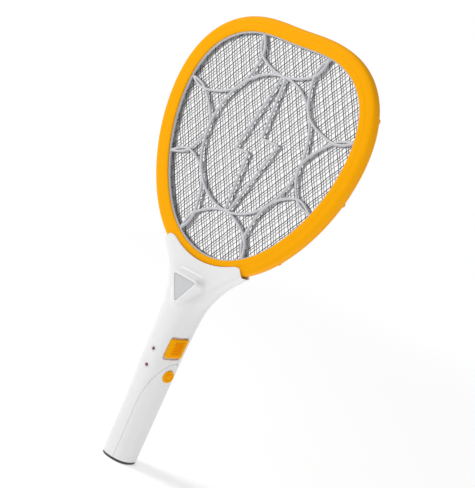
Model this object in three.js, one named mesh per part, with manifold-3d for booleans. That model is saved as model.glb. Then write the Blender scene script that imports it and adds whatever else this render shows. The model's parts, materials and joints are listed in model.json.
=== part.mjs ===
// Electric fly swatter: an egg-shaped racket head with three wire grids between two
// guard grilles, on a moulded two-shell handle that holds the battery, the step-up
// board, a slide switch, a push button, a lamp and two indicator lights.
// Millimetres. Z runs along the racket, z = 0 is the flat end of the handle, the front
// of the racket faces -Y, and +X is its right-hand side as seen from the front.
import * as THREE from 'three';
import Module from 'manifold-3d';

const wasm = await Module();
wasm.setup();

// ---------------------------------------------------------------- driving dimensions
const GAP = 0.3;                 // clearance between neighbouring pieces
const HANDLE_LENGTH = 219;       // handle end to the bottom of the head
const HEAD_HEIGHT = 271;         // outside of the head ring, along the racket
const HEAD_WIDTH = 252;          // outside of the head ring, across the racket
const RING_WIDTH = 17;           // head ring, seen from the front
const RING_DEPTH = 16;           // head ring, front to back
const RING_WALL = 2;              // thickness of the ring's lip
const LIP_WIDTH = 9.5;           // part of the ring that overhangs the grids
const GRIP_RADIUS = 18;
const SHELL_WALL = 2.2;
const FRONT_BULGE = 22.8;        // deepest point of the front shell, by the indicators
const BACK_BULGE = 18;           // deepest point of the back shell
const GRIP_POWER = 2.4;          // roundness of the grip's oval
const YOKE_POWER = 7.5;          // and of the yoke's, which wraps the ring

// Egg outline of the window in the head, as a circle with cosine terms.
const EGG_TERMS = [1, -0.073, 0.044, -0.073, -0.013, -0.0125];
const RING_STEPS = 40;

const GRID_PITCH = 40.8;         // every fourth wire of one family, as a stand-in
const GRID_ANGLE = 32.3;         // wires lean this far either side of the long axis
const GRID_WIRE = 1.0;
const GRID_RIM = 3;
const GRID_THICKNESS = 0.7;
const GRID_STEP = 2.55;          // spacing of the three grids, front to back

const RIB_WIDTH = 2.6;
const RIB_DEPTH = 2.5;
const GRILLE_RIM = 5;

const BUTTON_RADIUS = 6.8;
const BUTTON_TRAVEL = 1.2;       // inwards, against the spring
const BUTTON_AZIMUTH = 76;       // 0 faces the front, 90 faces right
const SLIDE_AZIMUTH = 62;
const SLIDE_HEIGHT = 135.6;      // middle of the slide, above the handle's end
const SLIDE_WIDTH = 21;
const SLIDE_LENGTH = 21.5;
const SLIDE_SLANT = 3.5;
const SLIDE_TRAVEL = 2;          // each way from the middle position
const SLIDE_RIBS = 8;
const INDICATOR_RADIUS = 1.6;
const INDICATOR_UPPER = 127;     // heights above the handle's end
const INDICATOR_LOWER = 108.6;
const LAMP_DROP = 9.2;           // lamp frame's base below the head
const LAMP_WIDTH = 36.4;         // raised lamp frame, across its base
const LAMP_HEIGHT = 33;          // from its base down to its apex
const LAMP_RIM = 2;
const PANEL_EDGE = 4;            // side panel's front edge, right of the centre line
const PANEL_TOP = 119;
const PANEL_STRAIGHT = 50;       // height where the panel's edge starts to arch
const BUTTON_DROP = 14.6;        // button's middle below the top of the panel
const CAP_HEIGHT = 2.4;
const BATTERY_WIDTH = 20;
const BATTERY_DROP = 47.8;       // battery's top below the top of the panel
const BOARD_GAP = 13.1;          // board's lower edge above the battery
const BOARD_DROP = 47.1;         // board's upper edge below the head
const SCREW_RADIUS = 1.1;
const SCREW_HEAD = 2.3;

// ---------------------------------------------------------------- solids
function solid(geometry) {
  const g = (geometry.index ? geometry.toNonIndexed() : geometry.clone());
  const p = g.getAttribute('position').array;
  const index = new Map();
  const verts = [];
  const tris = new Uint32Array(p.length / 3);
  for (let i = 0; i < p.length; i += 3) {
    const key = [p[i], p[i + 1], p[i + 2]].map((v) => Math.round(v * 1e4)).join(',');
    if (!index.has(key)) {
      index.set(key, verts.length / 3);
      verts.push(p[i], p[i + 1], p[i + 2]);
    }
    tris[i / 3] = index.get(key);
  }
  const kept = [];
  for (let i = 0; i < tris.length; i += 3) {
    const [a, b, c] = [tris[i], tris[i + 1], tris[i + 2]];
    if (a !== b && b !== c && c !== a) kept.push(a, b, c);
  }
  return new wasm.Manifold(new wasm.Mesh({
    numProp: 3,
    vertProperties: new Float32Array(verts),
    triVerts: new Uint32Array(kept),
  }));
}

const join = (...parts) => parts.flat().reduce((a, b) => a.add(b));
const cut = (body, ...tools) => tools.flat().reduce((a, b) => a.subtract(b), body);
const common = (a, b) => a.intersect(b);

function box(x0, x1, y0, y1, z0, z1) {
  const g = new THREE.BoxGeometry(x1 - x0, y1 - y0, z1 - z0);
  return solid(g.translate((x0 + x1) / 2, (y0 + y1) / 2, (z0 + z1) / 2));
}

// A turned solid on the Z axis, from [radius, z] points whose ends lie on the axis.
function turned(points, segments = 20) {
  const profile = points.map(([r, z]) => new THREE.Vector2(r, z));
  const spin = (run) => solid(new THREE.LatheGeometry(run, segments).rotateX(Math.PI / 2));
  const made = spin(profile);
  return made.volume() > 0 ? made : spin(profile.reverse());
}

// A closed outline in the XZ plane, drawn out from y0 to y1.
function slab(outline, y0, y1, holes = []) {
  const shape = new THREE.Shape(outline.map(([x, z]) => new THREE.Vector2(x, z)));
  for (const hole of holes) {
    shape.holes.push(new THREE.Path(hole.map(([x, z]) => new THREE.Vector2(x, z))));
  }
  const g = new THREE.ExtrudeGeometry(shape, { depth: y1 - y0, bevelEnabled: false });
  return solid(g.rotateX(Math.PI / 2).translate(0, y1, 0));
}

// Moves a tool drawn on the Z axis so that +Z points outwards at an azimuth.
function outwards(body, azimuth, at) {
  const a = THREE.MathUtils.degToRad(azimuth);
  const out = new THREE.Vector3(Math.sin(a), -Math.cos(a), 0);
  const up = new THREE.Vector3(0, 0, 1);
  const side = new THREE.Vector3().crossVectors(up, out);
  const m = new THREE.Matrix4().makeBasis(side, up, out).setPosition(...at);
  return body.transform(m.elements);
}

// ---------------------------------------------------------------- head outline
const windowHeight = HEAD_HEIGHT - 2 * RING_WIDTH;
const windowWidth = HEAD_WIDTH - 2 * RING_WIDTH;
const windowBottom = HANDLE_LENGTH + RING_WIDTH;

function eggPoint(angle) {
  const r = EGG_TERMS.reduce((sum, term, k) => sum + term * Math.cos(k * angle), 0);
  return [r * Math.sin(angle), r * Math.cos(angle)];
}

const eggAngles = [...Array(720).keys()].map((i) => (i / 360) * Math.PI);
const eggHalfWidth = Math.max(...eggAngles.map((a) => eggPoint(a)[0]));
const eggTop = Math.max(...eggAngles.map((a) => eggPoint(a)[1]));
const eggBottom = Math.min(...eggAngles.map((a) => eggPoint(a)[1]));

function windowPoint(angle) {
  const [x, z] = eggPoint(angle);
  return [
    (x / eggHalfWidth) * (windowWidth / 2),
    windowBottom + ((z - eggBottom) / (eggTop - eggBottom)) * windowHeight,
  ];
}

// A point of the window outline pushed outwards by an offset, and its outward normal.
function offsetPoint(angle, offset) {
  const [x0, z0] = windowPoint(angle - 0.01);
  const [x1, z1] = windowPoint(angle + 0.01);
  const [x, z] = windowPoint(angle);
  const length = Math.hypot(x1 - x0, z1 - z0);
  const normal = [-(z1 - z0) / length, (x1 - x0) / length];
  return { at: [x + normal[0] * offset, z + normal[1] * offset], normal };
}

const outline = (offset, steps = RING_STEPS) => [...Array(steps).keys()]
  .map((i) => offsetPoint((2 * Math.PI * i) / steps, offset).at);

// A closed band that follows the window, from [offset, y] section points.
function band(section, steps = RING_STEPS) {
  const n = section.length;
  const positions = [];
  const rings = [...Array(steps).keys()].map((i) => section.map(([offset, y]) => {
    const [x, z] = offsetPoint((2 * Math.PI * i) / steps, offset).at;
    return [x, y, z];
  }));
  for (let i = 0; i < steps; i += 1) {
    const [here, next] = [rings[i], rings[(i + 1) % steps]];
    for (let j = 0; j < n; j += 1) {
      const k = (j + 1) % n;
      positions.push(...here[j], ...next[j], ...next[k], ...here[j], ...next[k], ...here[k]);
    }
  }
  const g = new THREE.BufferGeometry();
  g.setAttribute('position', new THREE.Float32BufferAttribute(positions, 3));
  const made = solid(g);
  return made.volume() > 0 ? made : solid(flipped(g));
}

function flipped(geometry) {
  const p = geometry.getAttribute('position').array.slice();
  for (let i = 0; i < p.length; i += 9) {
    for (let k = 0; k < 3; k += 1) {
      [p[i + 3 + k], p[i + 6 + k]] = [p[i + 6 + k], p[i + 3 + k]];
    }
  }
  const g = new THREE.BufferGeometry();
  g.setAttribute('position', new THREE.Float32BufferAttribute(p, 3));
  return g;
}

// Half-width of the ring's outside at a height below its widest place.
function ringHalfWidth(height) {
  const below = outline(RING_WIDTH, 720).filter(([x, z]) => x > 0 && z < height);
  return Math.max(...below.map(([x]) => x));
}

// ---------------------------------------------------------------- handle form
const yokeTop = HANDLE_LENGTH + 22;
const yokeHalfWidth = ringHalfWidth(yokeTop) + SHELL_WALL - 0.5;
const yokeDepth = RING_DEPTH / 2 + 1.8;

// Each station: share of the handle length, half width, front depth, back depth, and the
// power of its oval, where 2 is an ellipse and larger is squarer.
const flare = (share) => GRIP_RADIUS + (yokeHalfWidth - GRIP_RADIUS) * share;
const stations = [
  [0, GRIP_RADIUS - 0.3, GRIP_RADIUS, BACK_BULGE, GRIP_POWER],
  [0.22, GRIP_RADIUS, GRIP_RADIUS + 0.3, BACK_BULGE, GRIP_POWER],
  [0.38, GRIP_RADIUS + 0.4, GRIP_RADIUS + 2.2, BACK_BULGE - 0.3, GRIP_POWER],
  [0.455, GRIP_RADIUS + 0.8, GRIP_RADIUS + 3.6, BACK_BULGE - 0.6, GRIP_POWER],
  [0.48, GRIP_RADIUS + 1, FRONT_BULGE - 0.5, BACK_BULGE - 0.8, GRIP_POWER],
  [0.54, GRIP_RADIUS + 1.2, FRONT_BULGE, BACK_BULGE - 1, GRIP_POWER],
  [0.61, GRIP_RADIUS + 1.7, FRONT_BULGE - 0.2, BACK_BULGE - 1, GRIP_POWER],
  [0.68, flare(0.055), FRONT_BULGE - 0.8, BACK_BULGE - 1.1, GRIP_POWER],
  [0.745, flare(0.08), FRONT_BULGE - 1.5, BACK_BULGE - 1.5, GRIP_POWER],
  [0.8, flare(0.115), FRONT_BULGE - 2.2, BACK_BULGE - 2, GRIP_POWER],
  [0.85, flare(0.17), FRONT_BULGE - 3.2, BACK_BULGE - 3, 2.5],
  [0.915, flare(0.305), yokeDepth + 5.8, yokeDepth + 3.6, 2.9],
  [0.96, flare(0.42), yokeDepth + 3.6, yokeDepth + 2.2, 3.6],
  [1.005, flare(0.58), yokeDepth + 2, yokeDepth + 1.2, 4.8],
  [1.05, flare(0.77), yokeDepth + 0.9, yokeDepth + 0.5, 6.2],
  [yokeTop / HANDLE_LENGTH, yokeHalfWidth, yokeDepth, yokeDepth, YOKE_POWER],
];

function formAt(z) {
  const share = z / HANDLE_LENGTH;
  const i = Math.max(1, stations.findIndex(([s]) => s >= share - 1e-9));
  const [low, high] = [stations[i - 1], stations[i]];
  const t = (share - low[0]) / (high[0] - low[0]);
  const [side, front, back, power] = [1, 2, 3, 4].map((k) => low[k] + (high[k] - low[k]) * t);
  return { side, front, back, power };
}

function formPoint(z, turn, inset) {
  const { side, front, back, power } = formAt(z);
  const [c, s] = [Math.cos(turn), Math.sin(turn)];
  const reach = (Math.abs(c) ** power + Math.abs(s) ** power) ** (-1 / power);
  return [(side - inset) * reach * c, ((s < 0 ? front : back) - inset) * reach * s, z];
}

// The handle's form between two heights, shrunk by an inset.
function form(z0, z1, inset, around = 30) {
  const inner = stations.map(([s]) => s * HANDLE_LENGTH).filter((z) => z > z0 + 1 && z < z1 - 1);
  const heights = [z0, ...inner, z1];
  const rings = heights.map((z) => [...Array(around).keys()]
    .map((i) => formPoint(z, (2 * Math.PI * i) / around, inset)));
  const positions = [];
  for (let h = 0; h + 1 < rings.length; h += 1) {
    for (let i = 0; i < around; i += 1) {
      const k = (i + 1) % around;
      const [a, b, c, d] = [rings[h][i], rings[h][k], rings[h + 1][k], rings[h + 1][i]];
      positions.push(...a, ...b, ...c, ...a, ...c, ...d);
    }
  }
  for (let i = 0; i < around; i += 1) {
    const k = (i + 1) % around;
    const top = rings[rings.length - 1];
    positions.push(0, 0, z0, ...rings[0][k], ...rings[0][i]);
    positions.push(0, 0, z1, ...top[i], ...top[k]);
  }
  const g = new THREE.BufferGeometry();
  g.setAttribute('position', new THREE.Float32BufferAttribute(positions, 3));
  return solid(g);
}

// Distance of the handle's skin from the axis at a height and azimuth.
function skinAt(z, azimuth) {
  const a = THREE.MathUtils.degToRad(azimuth);
  const { side, front, back, power } = formAt(z);
  const depth = Math.cos(a) > 0 ? front : back;
  const sum = Math.abs(Math.sin(a) / side) ** power + Math.abs(Math.cos(a) / depth) ** power;
  return sum ** (-1 / power);
}

// ---------------------------------------------------------------- parts list
const group = new THREE.Group();
const shiftBack = (BACK_BULGE - FRONT_BULGE) / -2;

const PAINT = {
  orange: { color: 0xf8a800, roughness: 0.42, metalness: 0 },
  white: { color: 0xf2f2f2, roughness: 0.3, metalness: 0 },
  grey: { color: 0xb9bbc0, roughness: 0.5, metalness: 0 },
  dark: { color: 0x4a4c50, roughness: 0.5, metalness: 0 },
  steel: { color: 0x9a9ca0, roughness: 0.35, metalness: 0.9 },
  brass: { color: 0xc9a45a, roughness: 0.35, metalness: 0.9 },
  board: { color: 0x2c7a45, roughness: 0.6, metalness: 0 },
  lens: { color: 0xcfd2d4, roughness: 0.2, metalness: 0 },
  red: { color: 0x8a1018, roughness: 0.2, metalness: 0 },
  amber: { color: 0xb5651d, roughness: 0.5, metalness: 0 },
};

function add(name, body, paint) {
  const made = body.getMesh();
  const g = new THREE.BufferGeometry();
  const points = [];
  for (let i = 0; i < made.vertProperties.length; i += made.numProp) {
    points.push(...made.vertProperties.slice(i, i + 3));
  }
  g.setAttribute('position', new THREE.Float32BufferAttribute(points, 3));
  g.setIndex(Array.from(made.triVerts));
  g.translate(0, shiftBack, 0);
  const mesh = new THREE.Mesh(g.toNonIndexed(), new THREE.MeshStandardMaterial(PAINT[paint]));
  mesh.geometry.computeVertexNormals();
  mesh.name = name;
  group.add(mesh);
}

// ---------------------------------------------------------------- head rings
const half = RING_DEPTH / 2;
const lipInside = half - RING_WALL;
const seam = GAP / 2;
const round = 3.2;

// Section of one ring half, with y measured outwards from the seam.
const ringSection = [
  [0, half - 1],
  [1.2, half],
  [RING_WIDTH - round, half],
  [RING_WIDTH - round * 0.35, half - round * 0.3],
  [RING_WIDTH, half - round],
  [RING_WIDTH, seam],
  [LIP_WIDTH, seam],
  [LIP_WIDTH, lipInside],
  [0, lipInside],
];
const ringHalf = (way) => band(ringSection.map(([o, y]) => [o, way * y]));

const screwOffset = (LIP_WIDTH + RING_WIDTH) / 2;
const ringScrewAngles = [20, 62, 104, 146, 214, 256, 298, 340]
  .map((a) => THREE.MathUtils.degToRad(a));

function ringScrewAt(i) {
  return offsetPoint(ringScrewAngles[i], screwOffset).at;
}

// A rod along Y.
function rod(radius, y0, y1, x, z, segments = 16) {
  const g = new THREE.CylinderGeometry(radius, radius, y1 - y0, segments);
  return solid(g.translate(x, (y0 + y1) / 2, z));
}

const leadSlot = box(-9, 9, -4.4, 4.4, HANDLE_LENGTH - 5, windowBottom - LIP_WIDTH + 3);
const bores = (r, y0, y1) => ringScrewAngles
  .map((_, i) => rod(r, y0, y1, ...ringScrewAt(i), 10));

const screwTipY = -half + 2.6;
const headSeatY = half - 2;
const frontRing = cut(
  ringHalf(-1),
  bores(SCREW_RADIUS + 0.15, screwTipY - GAP, seam),
  leadSlot,
);
const backRing = cut(
  ringHalf(1),
  bores(SCREW_RADIUS + 0.3, -seam, half + 1),
  bores(SCREW_HEAD + GAP, headSeatY, half + 1),
  leadSlot,
);
add('head_front_ring', frontRing, 'orange');
add('head_back_ring', backRing, 'orange');

function screw(x, z, tipY, seatY, topY) {
  const body = turned([
    [0, tipY],
    [SCREW_RADIUS * 0.4, tipY],
    [SCREW_RADIUS, tipY + 1],
    [SCREW_RADIUS, seatY],
    [SCREW_HEAD, seatY],
    [SCREW_HEAD, topY - 0.5],
    [SCREW_HEAD - 0.6, topY],
    [0, topY],
  ], 8);
  const slot = box(-1.5, 1.5, -0.3, 0.3, topY - 0.8, topY + 1);
  return cut(body, slot).rotate([-90, 0, 0]).translate([x, 0, z]);
}
ringScrewAngles.forEach((_, i) => {
  const [x, z] = ringScrewAt(i);
  add(`ring_screw_${i + 1}`, screw(x, z, screwTipY, headSeatY + 0.05, half - 0.4), 'steel');
});

// ---------------------------------------------------------------- grids and spacers
const carrier = LIP_WIDTH - GAP; // the grids and grilles fill the ring up to here
const gridPlanes = { front_grid: -GRID_STEP, centre_grid: 0, back_grid: GRID_STEP };
const mid = [0, windowBottom + windowHeight * 0.54];

function grid(y, shiftX) {
  const y0 = y - GRID_THICKNESS / 2;
  const y1 = y + GRID_THICKNESS / 2;
  const rim = band([
    [-GRID_RIM / 2, y0],
    [carrier - GRILLE_RIM, y0],
    [carrier - GRILLE_RIM, y1],
    [-GRID_RIM / 2, y1],
  ]);
  const reach = HEAD_HEIGHT;
  const wires = [];
  const count = Math.ceil(reach / 2 / GRID_PITCH);
  for (const lean of [-GRID_ANGLE, GRID_ANGLE]) {
    for (let i = -count; i <= count; i += 1) {
      const x = i * GRID_PITCH + shiftX * Math.cos(THREE.MathUtils.degToRad(lean));
      const w = box(x - GRID_WIRE / 2, x + GRID_WIRE / 2, y0, y1, -reach, reach);
      wires.push(w.rotate([0, lean, 0]).translate([mid[0], 0, mid[1]]));
    }
  }
  const inside = slab(outline(1), y0 - 1, y1 + 1);
  return join(rim, common(join(wires), inside));
}
for (const [name, y] of Object.entries(gridPlanes)) {
  const shiftX = y === 0 ? GRID_PITCH / 2 : 0;
  const tab = box(-3, 3, y - GRID_THICKNESS / 2, y + GRID_THICKNESS / 2,
    HANDLE_LENGTH + 3, windowBottom - 1);
  const offset = y === 0 ? 0 : Math.sign(y) * 5;
  add(name, join(grid(y, shiftX), tab.translate([offset, 0, 0])), 'steel');
}

function spacer(y0, y1) {
  const ring = band([
    [1.5, y0],
    [carrier, y0],
    [carrier, y1],
    [1.5, y1],
  ]);
  return cut(ring, box(-9, 9, y0 - 1, y1 + 1, HANDLE_LENGTH, windowBottom - 4));
}
const faceOf = (y) => y + GRID_THICKNESS / 2 + GAP;
add('front_spacer', spacer(-GRID_STEP + GRID_THICKNESS / 2 + GAP, -faceOf(0)), 'grey');
add('back_spacer', spacer(faceOf(0), GRID_STEP - GRID_THICKNESS / 2 - GAP), 'grey');

// ---------------------------------------------------------------- guard grilles
// Spokes enter from the ring at these window angles, in mirrored pairs.
const spokeAngles = [23.5, 74, 119, 161];
const SPOKE_LENGTH = 25;
const OVAL_WIDTH = 0.565;        // share of the window's width
const OVAL_HEIGHT = 0.635;       // share of the window's height
const OVAL_CENTRE = 0.533;       // share of the window's height
const ovalCentre = [0, windowBottom + windowHeight * OVAL_CENTRE];
const ovalSide = (windowWidth * OVAL_WIDTH) / 2;
const ovalRise = (windowHeight * OVAL_HEIGHT) / 2;

// A rib of constant width along a smooth run of [x, z] points.
function rib(points, y0, y1, closed = false) {
  const n = points.length;
  const side = (way) => points.map((p, i) => {
    const a = points[closed ? (i - 1 + n) % n : Math.max(0, i - 1)];
    const b = points[closed ? (i + 1) % n : Math.min(n - 1, i + 1)];
    const length = Math.hypot(b[0] - a[0], b[1] - a[1]);
    const push = (way * RIB_WIDTH) / 2 / length;
    return [p[0] - (b[1] - a[1]) * push, p[1] + (b[0] - a[0]) * push];
  });
  const [left, right] = [side(1), side(-1)];
  const pieces = [];
  for (let i = 0; i < (closed ? n : n - 1); i += 1) {
    const k = (i + 1) % n;
    pieces.push(slab([left[i], right[i], right[k], left[k]], y0, y1));
  }
  return join(pieces);
}

// A rib of straight bars between [x, z] corners, rounded at each corner.
function bars(corners, y0, y1) {
  const parts = corners.map(([x, z]) => rod(RIB_WIDTH / 2, y0, y1, x, z, 8));
  corners.forEach((a, i) => {
    parts.push(rib([a, corners[(i + 1) % corners.length]], y0, y1));
  });
  return join(parts);
}

// A smooth curve through points, cut into straight steps.
function smooth(points, steps) {
  const curve = new THREE.SplineCurve(points.map(([x, z]) => new THREE.Vector2(x, z)));
  return curve.getPoints(steps).map((p) => [p.x, p.y]);
}

const spokes = [...spokeAngles, ...spokeAngles.map((a) => 360 - a).reverse()]
  .map((a) => offsetPoint(THREE.MathUtils.degToRad(a), 1).at);

// Two neighbouring spokes and the scallop between them, which bulges to the oval.
function scallop(a, b) {
  const m = [(a[0] + b[0]) / 2, (a[1] + b[1]) / 2];
  const toMid = [m[0] - ovalCentre[0], m[1] - ovalCentre[1]];
  const reach = 1 / Math.hypot(toMid[0] / ovalSide, toMid[1] / ovalRise);
  const touch = [ovalCentre[0] + toMid[0] * reach, ovalCentre[1] + toMid[1] * reach];
  const spokeEnd = (p) => {
    const inwards = [ovalCentre[0] - p[0], ovalCentre[1] - p[1]];
    const share = SPOKE_LENGTH / Math.hypot(...inwards);
    return [p[0] + inwards[0] * share, p[1] + inwards[1] * share];
  };
  return smooth([a, spokeEnd(a), touch, spokeEnd(b), b], 8);
}

const boltHalf = ovalRise - RIB_WIDTH / 2;
const boltPoint = (x, share) => [x, ovalCentre[1] + boltHalf * share];
const boltOutline = [
  boltPoint(3.5, 1),
  boltPoint(6, 0.11),
  boltPoint(28, 0.11),
  boltPoint(4.5, -1),
  boltPoint(-0.5, -1),
  boltPoint(-2, -0.14),
  boltPoint(-19, -0.16),
  boltPoint(-1, 1),
];

function grille(y0, y1) {
  const rim = band([
    [-1.2, y0],
    [carrier, y0],
    [carrier, y1],
    [-1.2, y1],
  ]);
  const oval = [...Array(20).keys()].map((i) => {
    const a = (i / 10) * Math.PI;
    return [ovalCentre[0] + ovalSide * Math.sin(a), ovalCentre[1] + ovalRise * Math.cos(a)];
  });
  const arcs = spokes.map((foot, i) => rib(scallop(foot, spokes[(i + 1) % 8]), y0, y1));
  const all = join(rim, rib(oval, y0, y1, true), bars(boltOutline, y0, y1), arcs);
  return cut(all, box(-9, 9, y0 - 1, y1 + 1, HANDLE_LENGTH, windowBottom - 4));
}
const grilleFace = lipInside - GAP;
add('front_grille', grille(-grilleFace, -grilleFace + RIB_DEPTH), 'grey');
add('back_grille', grille(grilleFace - RIB_DEPTH, grilleFace), 'grey');

// ---------------------------------------------------------------- handle shells
const shellBottom = CAP_HEIGHT + GAP;
const skin = form(shellBottom, yokeTop, 0);
const hollow = form(shellBottom, yokeTop, SHELL_WALL, 20);

// The side panel's edge rises straight from the end, then arches over to the right: a
// full quarter ellipse in height and azimuth, mirrored on the back.
const edgeAzimuth = THREE.MathUtils.radToDeg(Math.atan2(PANEL_EDGE, GRIP_RADIUS));
const archSteps = 12;
const archPower = 2.2;

function panelTool(grow) {
  const arch = [...Array(archSteps + 1).keys()].map((i) => {
    const t = (i / archSteps) * (Math.PI / 2);
    const azimuth = 90 - (90 - edgeAzimuth) * Math.cos(t) ** (2 / archPower);
    const z = PANEL_STRAIGHT + (PANEL_TOP - PANEL_STRAIGHT) * Math.sin(t) ** (2 / archPower);
    const x = skinAt(z, azimuth) * Math.sin(THREE.MathUtils.degToRad(azimuth));
    return [x - grow * Math.cos(t), z + grow * Math.sin(t)];
  });
  const far = GRIP_RADIUS * 3;
  const corners = [[PANEL_EDGE - grow, -1], [far, -1], [far, PANEL_TOP + grow]];
  return slab([...corners, ...arch.reverse()], -far, far);
}

// Lamp frame outline, with rounded corners, apex towards the grip.
const lampTop = HANDLE_LENGTH - LAMP_DROP;
const lampCentre = [0, lampTop - LAMP_HEIGHT / 3];
const lampSlope = Math.hypot(LAMP_WIDTH / 2, LAMP_HEIGHT);
const lampInradius = (LAMP_WIDTH * LAMP_HEIGHT) / (LAMP_WIDTH + 2 * lampSlope);
const lampFace = FRONT_BULGE - 0.3;

function lampOutline(inset) {
  const k = (lampInradius - inset) / lampInradius;
  const corners = [
    [-LAMP_WIDTH / 2, LAMP_HEIGHT / 3],
    [0, (-LAMP_HEIGHT * 2) / 3],
    [LAMP_WIDTH / 2, LAMP_HEIGHT / 3],
  ].map(([x, z]) => new THREE.Vector2(x * k, z * k));
  const softness = 0.09;
  return corners.flatMap((c, i) => {
    const before = corners[(i + 2) % 3].clone().lerp(c, 1 - softness);
    const after = corners[(i + 1) % 3].clone().lerp(c, 1 - softness);
    const curve = new THREE.QuadraticBezierCurve(before, c, after);
    return curve.getPoints(4).map((p) => [p.x, p.y + lampCentre[1]]);
  });
}

// A solid between an outline at y0 and a second one at y1.
function taper(first, y0, second, y1) {
  const n = first.length;
  const positions = [];
  const a = first.map(([x, z]) => [x, y0, z]);
  const b = second.map(([x, z]) => [x, y1, z]);
  for (let i = 0; i < n; i += 1) {
    const k = (i + 1) % n;
    positions.push(...a[i], ...b[i], ...b[k], ...a[i], ...b[k], ...a[k]);
    positions.push(...a[i], ...a[k], lampCentre[0], y0, lampCentre[1]);
    positions.push(...b[k], ...b[i], lampCentre[0], y1, lampCentre[1]);
  }
  const g = new THREE.BufferGeometry();
  g.setAttribute('position', new THREE.Float32BufferAttribute(positions, 3));
  const made = solid(g);
  return made.volume() > 0 ? made : solid(flipped(g));
}

const lampDraft = 6.5;           // how far the frame's foot spreads
const lampFoot = -yokeDepth;
const lampFrame = taper(lampOutline(-lampDraft), lampFoot, lampOutline(0), -lampFace);
const lensPocket = slab(lampOutline(LAMP_RIM), -lampFace - 1, -lampFace + 2.2 + GAP);
const lampWell = slab(lampOutline(LAMP_RIM + 1.8), -lampFace - 1, -seam);

// Controls on the right-hand side, and the two indicators on the centre line.
const buttonHeight = PANEL_TOP - BUTTON_DROP;
const indicatorHeights = { upper: INDICATOR_UPPER, lower: INDICATOR_LOWER };
const slideSkin = skinAt(SLIDE_HEIGHT, SLIDE_AZIMUTH);
const buttonSkin = skinAt(buttonHeight, BUTTON_AZIMUTH);

// A slanted plate tool that points outwards at the slide, from depth d0 to d1.
function slideTool(growAcross, growAlong, d0, d1) {
  const w = SLIDE_WIDTH / 2 + growAcross;
  const h = SLIDE_LENGTH / 2 + growAlong;
  const shape = new THREE.Shape([
    new THREE.Vector2(-w, -h - SLIDE_SLANT / 2),
    new THREE.Vector2(w, -h + SLIDE_SLANT / 2),
    new THREE.Vector2(w, h + SLIDE_SLANT / 2),
    new THREE.Vector2(-w, h - SLIDE_SLANT / 2),
  ]);
  const g = new THREE.ExtrudeGeometry(shape, { depth: d1 - d0, bevelEnabled: false });
  return outwards(solid(g.translate(0, 0, d0)), SLIDE_AZIMUTH, [0, 0, SLIDE_HEIGHT]);
}
const slideWindow = slideTool(GAP, SLIDE_TRAVEL + GAP, 2, slideSkin + 6);

const onButton = (body) => outwards(body, BUTTON_AZIMUTH, [0, 0, buttonHeight]);
const pole = (r, d0, d1, segments = 24) => turned([[0, d0], [r, d0], [r, d1], [0, d1]], segments);
const buttonHole = onButton(pole(BUTTON_RADIUS + GAP, 4, buttonSkin + 6));

const indicatorHoles = Object.values(indicatorHeights).flatMap((z) => {
  const face = -formAt(z).front;
  return [
    rod(INDICATOR_RADIUS + 0.2, face - 2, 0, 0, z),
    rod(INDICATOR_RADIUS + 1, face - 2, face + 0.5, 0, z),
  ];
});

// Screws that hold the two shells together, entered from the back.
const batteryTop = PANEL_TOP - BATTERY_DROP;
const handleScrews = [
  [-9, batteryTop + 6.5],
  [-13, HANDLE_LENGTH - 38.3],
  [13, HANDLE_LENGTH - 38.3],
  [-27, HANDLE_LENGTH - 7.7],
  [27, HANDLE_LENGTH - 7.7],
];
const postRadius = 2.9;
const shellSeat = 3;
const shellTip = -5;
const posts = handleScrews.map(([x, z]) => common(
  rod(postRadius, -FRONT_BULGE, FRONT_BULGE, x, z, 12),
  form(z - 5, z + 5, SHELL_WALL / 2, 20),
));
const shellBores = handleScrews.map(([x, z]) => join(
  rod(SCREW_RADIUS + 0.2, shellTip - GAP, seam, x, z, 12),
  rod(SCREW_RADIUS + 0.3, -seam, shellSeat + 1, x, z, 12),
  rod(SCREW_HEAD + GAP, shellSeat, BACK_BULGE + 2, x, z, 12),
));

const ringSpace = band([
  [-2, -half - GAP],
  [RING_WIDTH + GAP, -half - GAP],
  [RING_WIDTH + GAP, half + GAP],
  [-2, half + GAP],
]);
const stripEdge = 7;             // width of ring left showing above the yoke
const headOpening = slab(outline(stripEdge), -FRONT_BULGE - 5, FRONT_BULGE + 5);

// The yoke's two ends are cut square across the ring.
const beyond = GRIP_RADIUS * 6;
const yokeEnd = yokeHalfWidth * 0.78;
const yokeEndSlope = 1.4;        // fall per width of the cut across the ring
const yokeEndCut = slab([
  [yokeEnd - 4, yokeTop + 4 * yokeEndSlope],
  [yokeEnd + 30, yokeTop - 30 * yokeEndSlope],
  [beyond, yokeTop - 30 * yokeEndSlope],
  [beyond, yokeTop + 4 * yokeEndSlope],
], -FRONT_BULGE - 5, FRONT_BULGE + 5);
const yokeEndCuts = [yokeEndCut, yokeEndCut.mirror([1, 0, 0])];

const shell = cut(skin, hollow);
const frontSpace = box(-beyond, beyond, -beyond, -seam, -1, yokeTop + 1);
const backSpace = box(-beyond, beyond, seam, beyond, -1, yokeTop + 1);
const shellCuts = [panelTool(GAP), slideWindow, ringSpace, headOpening, ...yokeEndCuts,
  ...shellBores];

const frontBody = common(join(shell, lampFrame, posts), frontSpace);
add('handle_front_shell', cut(frontBody, lensPocket, lampWell, ...shellCuts, ...indicatorHoles),
  'white');
const backBody = common(join(shell, posts), backSpace);
add('handle_back_shell', cut(backBody, ...shellCuts), 'white');
add('side_panel', cut(common(shell, panelTool(0)), buttonHole), 'white');

handleScrews.forEach(([x, z], i) => {
  add(`handle_screw_${i + 1}`, screw(x, z, shellTip, shellSeat + 0.05, shellSeat + 1.8), 'steel');
});

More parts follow.
